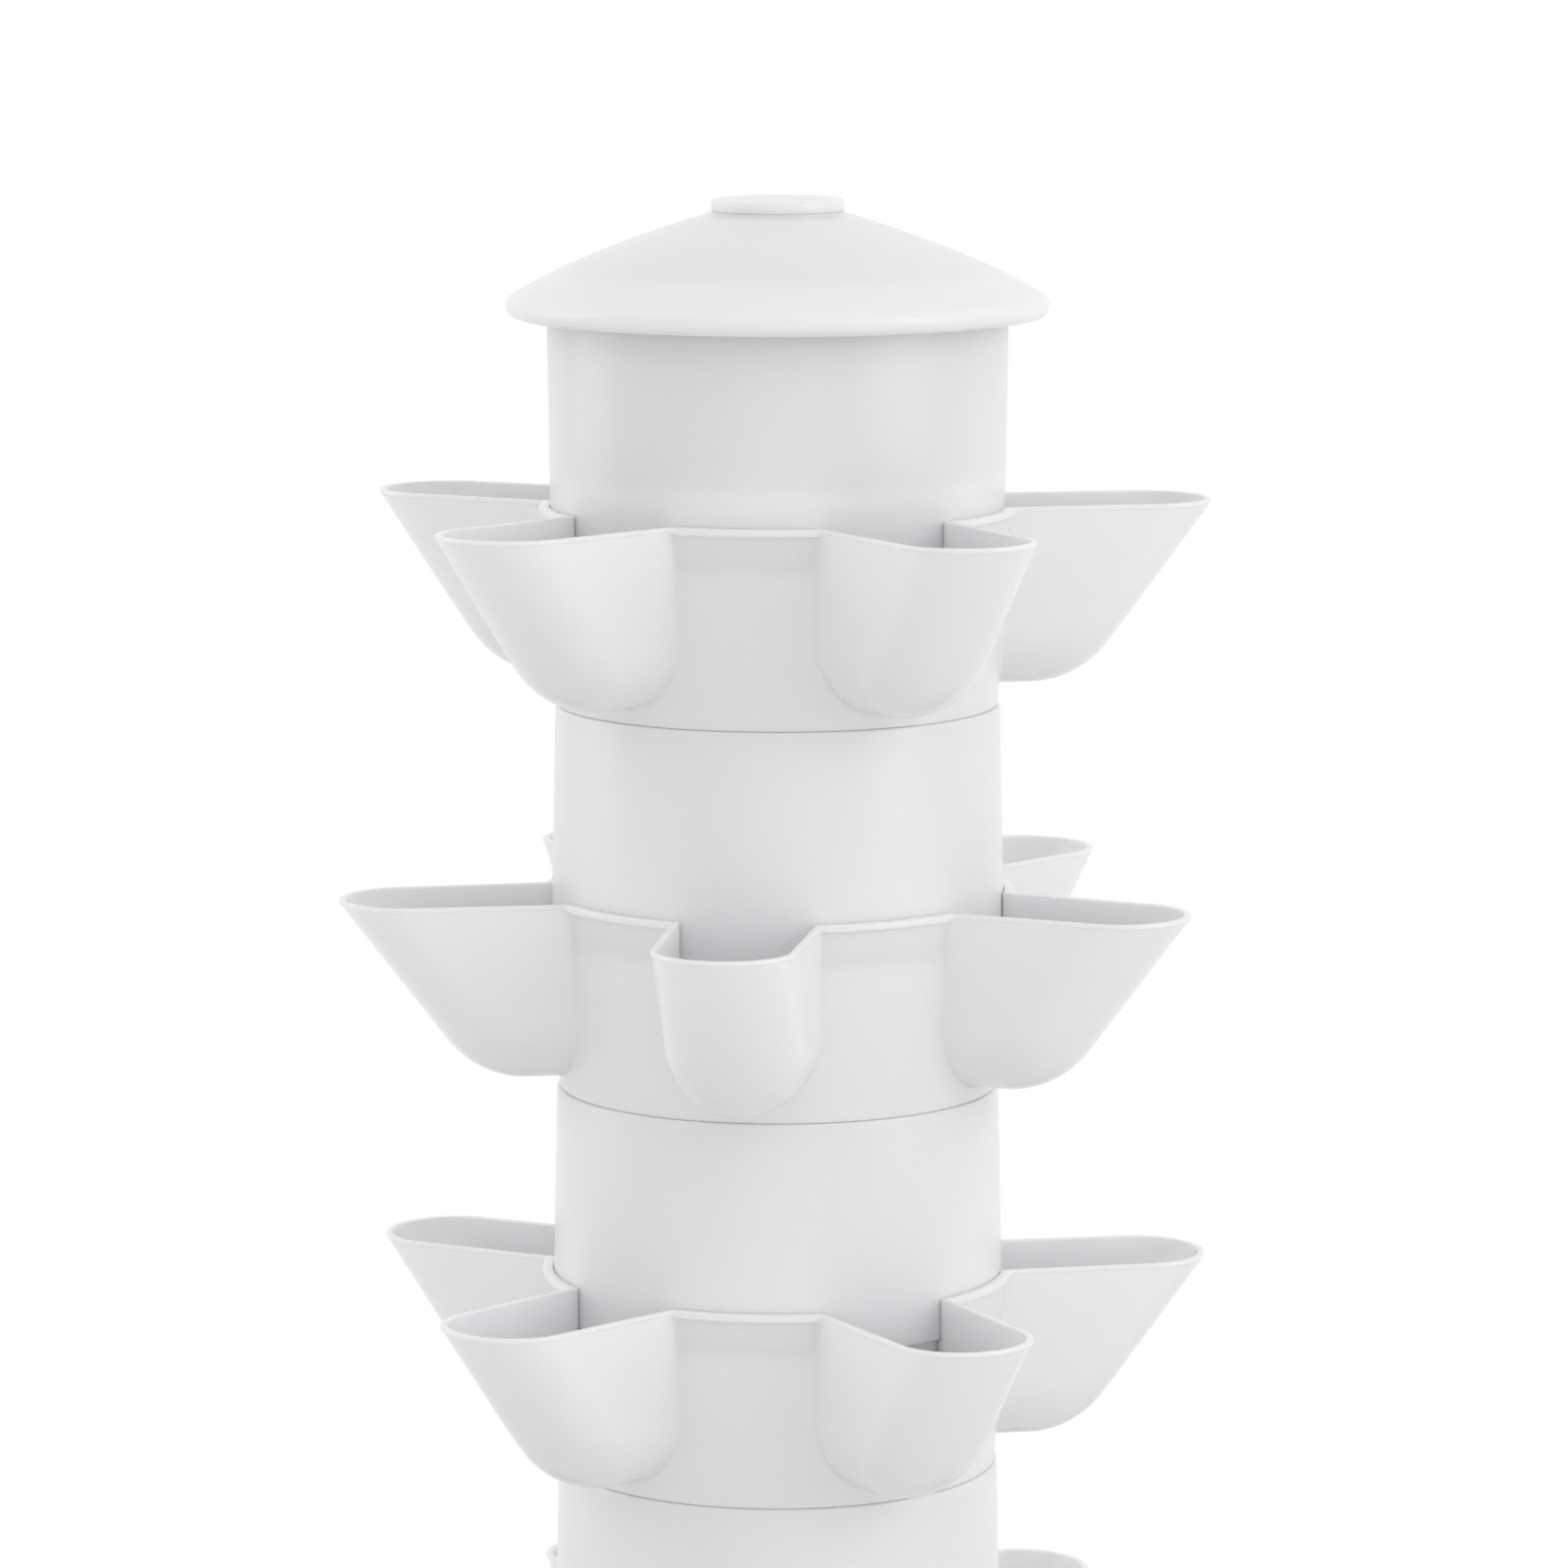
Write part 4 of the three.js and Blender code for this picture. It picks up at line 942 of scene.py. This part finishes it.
def lid_pieces():
    outside = dome_points(0)
    inside = dome_points(LID_WALL)
    brim_middle = LID_RADIUS - BRIM_ROUND
    brim = []
    for k in range(1, BRIM_STEPS + 1):
        angle = BRIM_ROUND_ANGLE - (BRIM_ROUND_ANGLE + math.pi / 2) * k / BRIM_STEPS
        brim.append((brim_middle + BRIM_ROUND * math.cos(angle), BRIM_ROUND * (1 + math.sin(angle))))
    skirt_inner = LID_SKIRT_RADIUS - LID_SKIRT_WALL
    under_brim = [p for p in inside if p[0] > LID_SEAT_RADIUS + LID_WALL][::-1]
    under_cone = [p for p in inside if p[0] < skirt_inner - LID_WALL][::-1]
    outline = [
        (LID_HOLE_RADIUS, LID_RISE + NECK_HEIGHT, 0.5),
        (CAP_RADIUS - 0.1, LID_RISE + NECK_HEIGHT, 0.2),
        (CAP_RADIUS, LID_RISE, 0.6),
        *outside,
        *brim,
        (brim_middle - LID_WALL, 0, 0.8),
        *under_brim[1:],
        (LID_SEAT_RADIUS, height_on(inside, LID_SEAT_RADIUS)),
        (LID_SEAT_RADIUS, LID_SEAT_DEPTH),
        (LID_SKIRT_RADIUS, LID_SEAT_DEPTH),
        (LID_SKIRT_RADIUS, -LID_SKIRT_DEPTH, 0.8),
        (skirt_inner, -LID_SKIRT_DEPTH, 0.8),
        (skirt_inner, height_on(inside, skirt_inner)),
        *under_cone,
        (LID_HOLE_RADIUS, LID_RISE - LID_WALL, 0.5),
    ]
    mesh = placed(turned(outline, WIDE_STEPS), (0, 0, BRIM_LEVEL))
    piece("domed_lid", mesh, "white_plastic", "lid", "lid")
    cap = [
        (0, CAP_TOP),
        (CAP_RADIUS, CAP_TOP, CAP_ROUND),
        (CAP_RADIUS, CAP_LOW, 0.2),
        (STEM_RADIUS, CAP_LOW, 0.4),
        (STEM_RADIUS, -STEM_DEPTH, 0.7),
        (STEM_RADIUS - STEM_WALL, -STEM_DEPTH, 0.5),
        (STEM_RADIUS - STEM_WALL, CAP_TOP - STEM_WALL, 0.5),
        (0, CAP_TOP - STEM_WALL),
    ]
    mesh = placed(turned(cap), (0, 0, BRIM_LEVEL + LID_RISE + NECK_HEIGHT))
    piece("lid_button", mesh, "white_plastic", "lid_cap", "lid_cap")


# Water way: riser, spreader dish and spray cap

def riser():
    foot = PUMP_LEVEL + PUMP_HEIGHT + OUTLET_LENGTH + PIPE_GAP
    levels = [foot, *SEAMS, SEAMS[-1] + RING_HEIGHT + RISER_END]
    for i, (low, high) in enumerate(zip(levels, levels[1:])):
        pipe = tube(RISER_RADIUS, RISER_BORE, low, high - PIPE_GAP)
        piece(f"riser_length_{i + 1}", pipe, "pipe_plastic", "tank", f"riser_pipe_{i + 1}")
        if i:
            nipple = tube(NIPPLE_RADIUS, NIPPLE_BORE, low - NIPPLE_REACH, low + NIPPLE_REACH)
            piece(f"riser_joiner_{i}", nipple, "pipe_plastic", "tank", f"riser_nipple_{i}")
    low_bore = OUTLET_RADIUS + PIPE_GAP
    high_bore = RISER_RADIUS + PIPE_GAP
    socket = turned([
        (low_bore, -PIPE_SOCKET_REACH, 0.5),
        (PIPE_SOCKET_RADIUS, -PIPE_SOCKET_REACH, 0.8),
        (PIPE_SOCKET_RADIUS, PIPE_SOCKET_REACH, 0.8),
        (high_bore, PIPE_SOCKET_REACH, 0.5),
        (high_bore, -PIPE_GAP, 0.3),
        (low_bore, -PIPE_GAP, 0.3),
    ], PIPE_STEPS)
    placed(socket, (0, 0, foot))
    piece("riser_foot_socket", socket, "pump_plastic", "tank", "riser_socket")


def spreader():
    inner = DISH_RADIUS - DISH_WALL
    dish = turned([
        (HUB_BORE, 0, 0.4),
        (DISH_RADIUS, 0, 1.2),
        (DISH_RADIUS, DISH_HEIGHT, 0.8),
        (inner, DISH_HEIGHT, 0.8),
        (inner, DISH_WALL, 2),
        (DISH_HUB_RADIUS, DISH_WALL, 0.8),
        (DISH_HUB_RADIUS, DISH_HUB_HEIGHT, 0.6),
        (HUB_BORE, DISH_HUB_HEIGHT, 0.4),
    ])
    hole = rod(DISH_HOLE_RADIUS, -CUT_PAST, DISH_WALL + CUT_PAST, 0.1, THIN_STEPS)
    placed(hole, (DISH_HOLE_REACH, 0, 0))
    dish = placed(carved(dish, removed=[ring_of(hole, DISH_HOLES, "pipe_plastic")]), (0, 0, DISH_LEVEL))
    piece("water_dish", dish, "pipe_plastic", "top_drum", "spreader_dish")
    hood = turned([
        (HOOD_RADIUS - HOOD_WALL, HOOD_LOW, 0.4),
        (HOOD_RADIUS, HOOD_LOW, 0.4),
        (HOOD_RADIUS, HOOD_TOP, 2.4),
        (0, HOOD_TOP),
        (0, HOOD_TOP - HOOD_WALL),
        (HOOD_RADIUS - HOOD_WALL, HOOD_TOP - HOOD_WALL, 1.2),
    ], PIPE_STEPS)
    slot = slab((8, 22), (-2.5, 2.5), (22, 30), 0.3, 0.3)
    hood = placed(carved(hood, removed=[ring_of(slot, HOOD_SLOTS, "pipe_plastic")]), (0, 0, DISH_LEVEL))
    piece("spray_hood", hood, "pipe_plastic", "top_drum", "spray_cap")


# Tank and its cover

def lengthened(low, high, count):
    """Extra outline points on a straight wall, which keep the faces of a cut wall short."""
    return [
        (low[0] + (high[0] - low[0]) * k / count, low[1] + (high[1] - low[1]) * k / count)
        for k in range(1, count)
    ]


def tank():
    flange_low = TANK_HEIGHT - TANK_FLANGE_THICKNESS
    foot, top = (TANK_FOOT_RADIUS, 0), (TANK_TOP_RADIUS, flange_low)
    inner_top = (TANK_TOP_RADIUS - TANK_WALL, TANK_HEIGHT)
    inner_foot = (TANK_FOOT_RADIUS - TANK_WALL, TANK_FLOOR_TOP)
    wall = turned([
        (0, TANK_FOOT_RISE),
        (TANK_FOOT_RADIUS - TANK_FOOT_RING, TANK_FOOT_RISE, 1),
        (TANK_FOOT_RADIUS - TANK_FOOT_RING, 0, 0.8),
        (*foot, 1.6),
        *lengthened(foot, top, 10),
        (*top, 1),
        (TANK_FLANGE_RADIUS, flange_low, 0.8),
        (TANK_FLANGE_RADIUS, TANK_HEIGHT, 0.8),
        (*inner_top, 0.8),
        *lengthened(inner_top, inner_foot, 10),
        (*inner_foot, 4),
        (0, TANK_FLOOR_TOP),
    ], WIDE_STEPS)
    boss = placed(rod(TAP_BOSS_RADIUS, TAP_FACE_INNER, TAP_FACE, 1.2), (0, 0, TAP_LEVEL), TOWARDS_FRONT)
    hole = rod(TAP_HOLE_RADIUS, TAP_FACE_INNER - CUT_PAST, TAP_FACE + CUT_PAST, 0)
    placed(hole, (0, 0, TAP_LEVEL), TOWARDS_FRONT)
    piece("water_tank", carved(wall, [boss], [hole]), "tank_plastic", "tank", "tank")


def at_port(mesh):
    return placed(mesh, polar(SHOULDER_RADIUS, PORT_TURN, COVER_TOP), (0, 0, PORT_TURN))


def cover():
    collar_foot, collar_top = (COLLAR_FOOT_RADIUS, 0), (COLLAR_TOP_RADIUS, COLLAR_HEIGHT)
    inner = COLLAR_TOP_RADIUS - DRUM_WALL
    plate = turned([
        (inner, -COVER_WALL, 0.4),
        (SKIRT_INNER_RADIUS, -COVER_WALL, 1),
        (SKIRT_INNER_RADIUS, -SKIRT_DEPTH, 0.8),
        (SKIRT_RADIUS, -SKIRT_DEPTH, 0.8),
        (SKIRT_RADIUS, 0, 2.4),
        *lengthened((SKIRT_RADIUS, 0), collar_foot, 6),
        (*collar_foot, 3),
        (*collar_top, DRUM_ROUND),
        (inner, COLLAR_HEIGHT, 0.5),
    ], WIDE_STEPS)
    placed(plate, (0, 0, COVER_TOP))
    rim = at_port(rod(PORT_RIM_RADIUS, -1.5, PORT_RIM_HEIGHT, 0.8, PORT_STEPS))
    cut_low = -COVER_WALL - CUT_PAST
    hole = at_port(rod(PORT_RADIUS, cut_low, PORT_RIM_HEIGHT + CUT_PAST, 0, PORT_STEPS))
    across = (HINGE_REACH - HINGE_RADIUS, HINGE_REACH + HINGE_RADIUS)
    ears = []
    for side in (-1, 1):
        ends = sorted(side * reach for reach in EAR_SIDES)
        ears.append(at_port(slab(across, ends, (-1.5, EAR_TOP), 0.8, 1.2)))
    hinge = (HINGE_REACH, 0, HINGE_HEIGHT)
    pin_end = EAR_SIDES[1]
    cut_end = pin_end + CUT_PAST
    pin_hole = at_port(placed(rod(PIN_WAY_RADIUS, -cut_end, cut_end, 0, THIN_STEPS), hinge, ALONG_Y))
    lead_hole = placed(rod(LEAD_HOLE_RADIUS, cut_low, CUT_PAST, 0), (0, SHOULDER_RADIUS, COVER_TOP))
    mesh = carved(plate, [rim, *ears], [hole, pin_hole, lead_hole])
    piece("tank_top_cover", mesh, "tank_plastic", "tank_cover", "tank_cover")

    disc = turned([
        (0, FLAP_LOW - PLUG_DEPTH),
        (PLUG_RADIUS, FLAP_LOW - PLUG_DEPTH, 0.6),
        (PLUG_RADIUS, FLAP_LOW, 0.3),
        (FLAP_RADIUS, FLAP_LOW, 0.9),
        (FLAP_RADIUS, FLAP_LOW + FLAP_THICKNESS, 0.9),
        (0, FLAP_LOW + FLAP_THICKNESS),
    ], PORT_STEPS)
    barrel = placed(rod(HINGE_RADIUS, -BARREL_HALF_WIDTH, BARREL_HALF_WIDTH, 0.4), hinge, ALONG_Y)
    levels = (FLAP_LOW + 0.05, FLAP_LOW + FLAP_THICKNESS - 0.05)
    web = slab((PORT_RADIUS, HINGE_REACH), (-WEB_HALF_WIDTH, WEB_HALF_WIDTH), levels, 0.4, 0.4)
    tab = slab((-TAB_REACH, -PORT_RADIUS), (-TAB_HALF_WIDTH, TAB_HALF_WIDTH), levels, 3, 0.9)
    pin_way = placed(bore(PIN_WAY_RADIUS, -pin_end, pin_end), hinge, ALONG_Y)
    flap = at_port(carved(disc, [barrel, web, tab], [pin_way]))
    piece("filling_flap", flap, "white_plastic", "fill_flap", "fill_flap")
    pin = placed(rod(PIN_RADIUS, -pin_end, pin_end, 0.3, THIN_STEPS), hinge, ALONG_Y)
    piece("flap_hinge_pin", at_port(pin), "steel_pin", "tank_cover", "flap_pin")

    grommet = turned([
        (GROMMET_BORE, 2.3, 0.8),
        (GROMMET_RADIUS, 2.3, 0.9),
        (GROMMET_RADIUS, 0.3, 0.3),
        (GROMMET_NECK, 0.3, 0.3),
        (GROMMET_NECK, -3.3, 0.3),
        (GROMMET_RADIUS, -3.3, 0.3),
        (GROMMET_RADIUS, -5.3, 0.9),
        (GROMMET_BORE, -5.3, 0.8),
    ], PIPE_STEPS)
    placed(grommet, (0, SHOULDER_RADIUS, COVER_TOP))
    piece("lead_grommet", grommet, "soft_rubber", "tank_cover", "cable_grommet")


# Pump

def pump():
    width = (-PUMP_HALF_WIDTH, PUMP_HALF_WIDTH)
    outlet_top = PUMP_HEIGHT + OUTLET_LENGTH
    shell = slab(width, (PUMP_FRONT, PUMP_BACK), (0, PUMP_HEIGHT), 5, 1.6)
    outlet = rod(OUTLET_RADIUS, 30, outlet_top, 0.6)
    chamber = turned([
        (0, CHAMBER_FRONT),
        (CHAMBER_RADIUS, CHAMBER_FRONT),
        (CHAMBER_RADIUS, CHAMBER_BACK),
        (MAGNET_WAY_RADIUS, CHAMBER_BACK),
        (MAGNET_WAY_RADIUS, MAGNET_WAY_END),
        (SHAFT_WAY_RADIUS, MAGNET_WAY_END),
        (SHAFT_WAY_RADIUS, SHAFT_WAY_END),
        (0, SHAFT_WAY_END),
    ], PIPE_STEPS)
    placed(chamber, (0, 0, PUMP_AXIS), ALONG_Y)
    water_hole = bore(OUTLET_BORE, PUMP_AXIS + CUT_PAST, outlet_top + CUT_PAST, PIPE_STEPS)
    housing = placed(carved(shell, [outlet], [chamber, water_hole]), (0, 0, PUMP_LEVEL))
    piece("pump_case", housing, "pump_plastic", "tank", "pump_housing")

    axis = (0, 0, PUMP_AXIS + PUMP_LEVEL)
    shaft = placed(rod(SHAFT_RADIUS, -11.4, SHAFT_WAY_END - 0.3, 0.3, THIN_STEPS), axis, ALONG_Y)
    piece("rotor_shaft", shaft, "ceramic_rod", "tank", "pump_shaft")

    magnet = turned([
        (MAGNET_BORE, -BLADE_HALF_HEIGHT, 0.2),
        (ROTOR_HUB_RADIUS, -BLADE_HALF_HEIGHT, 0.3),
        (ROTOR_HUB_RADIUS, 2, 0.3),
        (ROTOR_DISC_RADIUS, 2, 0.4),
        (ROTOR_DISC_RADIUS, 4, 0.4),
        (MAGNET_RADIUS, 4, 0.4),
        (MAGNET_RADIUS, MAGNET_END, 0.8),
        (MAGNET_BORE, MAGNET_END, 0.3),
    ], PIPE_STEPS)
    blades = []
    for k in range(BLADES):
        blade = slab((2.4, 12.4), (-0.8, 0.8), (-BLADE_HALF_HEIGHT, BLADE_HALF_HEIGHT), 0.2, 0.2)
        blades.append(placed(blade, turn=(0, 0, k * 2 * math.pi / BLADES)))
    rotor = placed(carved(magnet, blades), axis, ALONG_Y)
    piece("pump_rotor_block", rotor, "magnet", "pump_rotor", "pump_rotor")

    inlet = slab(width, (INLET_FACE, PUMP_FRONT - 0.3), (0, PUMP_HEIGHT), 2.5, 1.2)
    hollow = slab((-20.6, 20.6), (-18.9, -9), (2.4, 37.6), 1.5, 0.8)
    slot = slab((-1.2, 1.2), (-25, -12), (PUMP_AXIS - 11, PUMP_AXIS + 11), 1, 0.2)
    sizes = {"Count": INLET_SLOTS, "Pitch": INLET_SLOT_PITCH * MM, "Material": finishes["pump_plastic"]}
    slots = repeated(along_row, slot, **sizes)
    grille = placed(carved(inlet, removed=[hollow, slots]), (0, 0, PUMP_LEVEL))
    piece("pump_inlet_grille", grille, "pump_plastic", "tank", "pump_inlet_cover")

    for i, (x, y) in enumerate(FEET_PLACES):
        foot = turned([
            (0, FOOT_LOW),
            (FOOT_RADIUS, FOOT_LOW, 0.5),
            (FOOT_RADIUS, -4.7, 0.4),
            (FOOT_STEM_RADIUS, -3.3, 0.6),
            (FOOT_STEM_RADIUS, -0.3, 0.3),
            (0, -0.3),
        ], PIPE_STEPS)
        placed(foot, (x, y, PUMP_LEVEL))
        piece(f"suction_foot_{i + 1}", foot, "soft_rubber", "tank", f"pump_foot_{i + 1}")


# Drain tap, turned out towards the front from the tank's face

def tap():
    face = (0, -TAP_FACE, TAP_LEVEL)
    axis = (0, -TAP_FACE - VALVE_REACH, TAP_LEVEL)
    barrel = turned([
        (0, -TAP_THREAD),
        (TAP_PIPE_RADIUS, -TAP_THREAD, 0.5),
        (TAP_PIPE_RADIUS, 2.6, 0.3),
        (TAP_COLLAR_RADIUS, 2.6, 0.6),
        (TAP_COLLAR_RADIUS, 5.6, 0.6),
        (TAP_PIPE_RADIUS, 5.6, 0.3),
        (TAP_PIPE_RADIUS, VALVE_REACH - 3),
        (0, VALVE_REACH - 3),
    ], PIPE_STEPS)
    spout = turned([
        (0, SPOUT_LOW),
        (SPOUT_RADIUS, SPOUT_LOW, 0.6),
        (SPOUT_RADIUS, -VALVE_HALF_HEIGHT, 0.3),
        (VALVE_RADIUS, -VALVE_HALF_HEIGHT, 1),
        (VALVE_RADIUS, VALVE_HALF_HEIGHT, 1),
        (0, VALVE_HALF_HEIGHT),
    ], PIPE_STEPS)
    through = placed(bore(TAP_BORE, -24, VALVE_REACH + 1.5), face, TOWARDS_FRONT)
    down = placed(bore(TAP_BORE, SPOUT_LOW - CUT_PAST, -1), axis)
    stem_hole = placed(bore(STEM_WAY_RADIUS, 5, VALVE_HALF_HEIGHT + CUT_PAST), axis)
    body = carved(placed(barrel, face, TOWARDS_FRONT), [placed(spout, axis)], [through, down, stem_hole])
    piece("drain_tap", body, "white_plastic", "tank", "tap_body")

    washer = placed(tube(12.5, TAP_HOLE_RADIUS, 0.3, 2.3, 0.4), face, TOWARDS_FRONT)
    piece("tap_seal", washer, "soft_rubber", "tank", "tap_washer")

    way = placed(bore(TAP_HOLE_RADIUS, -24, -10, PIPE_STEPS), face, TOWARDS_FRONT)
    blank = placed(rod(NUT_RADIUS, *NUT_ENDS, 0, NUT_SIDES), face, TOWARDS_FRONT)
    piece("tap_back_nut", carved(blank, removed=[way]), "white_plastic", "tank", "tap_nut")

    bar = slab((-4.5, 26), (-4.5, 4.5), LEVER_LEVELS, 4.4, 1.2)
    stem = rod(STEM_WAY_RADIUS - 0.3, 5.3, LEVER_LEVELS[0] + 2, 0.4, THIN_STEPS)
    piece("tap_handle", placed(carved(bar, [stem]), axis), "pump_plastic", "tap_lever", "tap_lever")


# Floor, light and camera

VIEW_AZIMUTH = math.radians(7.82)
BACKDROP_HALF_ANGLE = math.radians(68)
BACKDROP_EDGE = math.radians(3)
FLOOR_HALF = 2
SHADOW_REACH = 0.45
WHITE_REACH = 1.15


def seen_ray(path, *others):
    """One for a ray straight from the camera or of the other kinds named, and else nothing."""
    total = path.outputs["Is Camera Ray"]
    for kind in others:
        total = number(path.id_data, "MAXIMUM", total, path.outputs[f"Is {kind} Ray"])
    return total


def floor_and_backdrop():
    """A pale floor that keeps the shadow near the part and turns to plain white further out."""
    corners = [(x * FLOOR_HALF, y * FLOOR_HALF, 0) for x, y in ((-1, -1), (1, -1), (1, 1), (-1, 1))]
    mesh = bpy.data.meshes.new("studio_floor")
    mesh.from_pydata(corners, [], [(0, 1, 2, 3)])
    floor = linked("studio_floor", mesh)
    material, tree, shader = blank_material("studio floor")
    mesh.materials.append(material)
    fill(tree, shader, Base_Color=(0.8, 0.8, 0.8, 1), Roughness=0.8)
    distance = vector(tree, "LENGTH", add_node(tree, "ShaderNodeTexCoord").outputs["Object"])
    fade = add_node(tree, "ShaderNodeMapRange", settings=SMOOTH, Value=distance)
    fill(tree, fade, From_Min=SHADOW_REACH, From_Max=WHITE_REACH)
    seen = seen_ray(add_node(tree, "ShaderNodeLightPath"), "Glossy", "Transmission")
    share = number(tree, "MULTIPLY", fade.outputs[0], seen)
    white = add_node(tree, "ShaderNodeEmission")
    blend = add_node(tree, "ShaderNodeMixShader", share, shader.outputs[0], white.outputs[0])
    fill(tree, tree.nodes["Material Output"], Surface=blend.outputs[0])


def world(low, high, room):
    """White all round for the camera. Glosses see the white backdrop behind the part and a dimmer room.

    The light on the part itself grows from low, straight down, to high, straight up.
    """
    sky = bpy.data.worlds.new("white studio")
    sky.use_nodes = True
    bpy.context.scene.world = sky
    tree = sky.node_tree
    tree.nodes.clear()

    where = add_node(tree, "ShaderNodeTexCoord").outputs["Generated"]
    heading = vector(tree, "NORMALIZE", vector(tree, "MULTIPLY", where, (1, 1, 0)))
    away = (-math.sin(VIEW_AZIMUTH), math.cos(VIEW_AZIMUTH), 0)
    backdrop = add_node(tree, "ShaderNodeMapRange", settings=SMOOTH)
    fill(
        tree,
        backdrop,
        Value=vector(tree, "DOT_PRODUCT", heading, away),
        From_Min=math.cos(BACKDROP_HALF_ANGLE + BACKDROP_EDGE),
        From_Max=math.cos(BACKDROP_HALF_ANGLE - BACKDROP_EDGE),
        To_Min=room,
    )
    upward = add_node(tree, "ShaderNodeSeparateXYZ", where).outputs["Z"]
    growth = add_node(tree, "ShaderNodeMapRange", Value=upward, From_Min=-1, To_Min=low, To_Max=high)
    seen, glossed, lit = (
        add_node(tree, "ShaderNodeBackground", (1, 1, 1, 1), strength).outputs[0]
        for strength in (1, backdrop.outputs[0], growth.outputs[0])
    )
    path = add_node(tree, "ShaderNodeLightPath")
    shine = add_node(tree, "ShaderNodeMixShader", path.outputs["Is Glossy Ray"], lit, glossed)
    straight = seen_ray(path, "Transmission")
    blend = add_node(tree, "ShaderNodeMixShader", straight, shine.outputs[0], seen)
    add_node(tree, "ShaderNodeOutputWorld", Surface=blend.outputs[0])


def lamp(name, place, aim, size, power):
    light = bpy.data.lights.new(name, "AREA")
    light.shape = "RECTANGLE"
    light.size, light.size_y = size
    light.energy = power
    made = linked(name, light)
    made.location = place
    made.rotation_euler = (Vector(aim) - Vector(place)).to_track_quat("-Z", "Y").to_euler()


def camera():
    """The photograph's view: its distance, height and direction come from the seams, rims and brim."""
    distance = 2.5717
    height = 1.0277
    pitch = 0.1474
    focal_pixels = 6945
    image_pixels = 1600
    axis_offset_pixels = 6.5
    eye = bpy.data.cameras.new("camera")
    eye.sensor_width = 36
    eye.lens = eye.sensor_width * focal_pixels / image_pixels
    made = linked("camera", eye)
    made.location = (distance * math.sin(VIEW_AZIMUTH), -distance * math.cos(VIEW_AZIMUTH), height)
    swing = VIEW_AZIMUTH - math.atan(axis_offset_pixels / focal_pixels)
    made.rotation_euler = (math.pi / 2 - pitch, 0, swing)
    bpy.context.scene.camera = made


camera()
pocket_rings()
drums()
lid_pieces()
riser()
spreader()
tank()
cover()
pump()
tap()
floor_and_backdrop()
world(0.69, 0.84, 0.7)
lamp("left_softbox", (-2.6, 0.2, 1.4), (0, 0, 0.6), (1.4, 2.2), 8.5)
lamp("right_softbox", (2.6, -0.9, 1.6), (0, 0, 0.6), (1.6, 2.2), 14.5)
lamp("front_softbox", (0.4, -2.9, 0.5), (0, 0, 0.65), (2.4, 1.0), 3.5)
lamp("top_softbox", (0.2, -0.6, 3.2), (0, 0, 0.5), (2.0, 2.0), 0.2)

bpy.context.scene.view_settings.view_transform = "Standard"
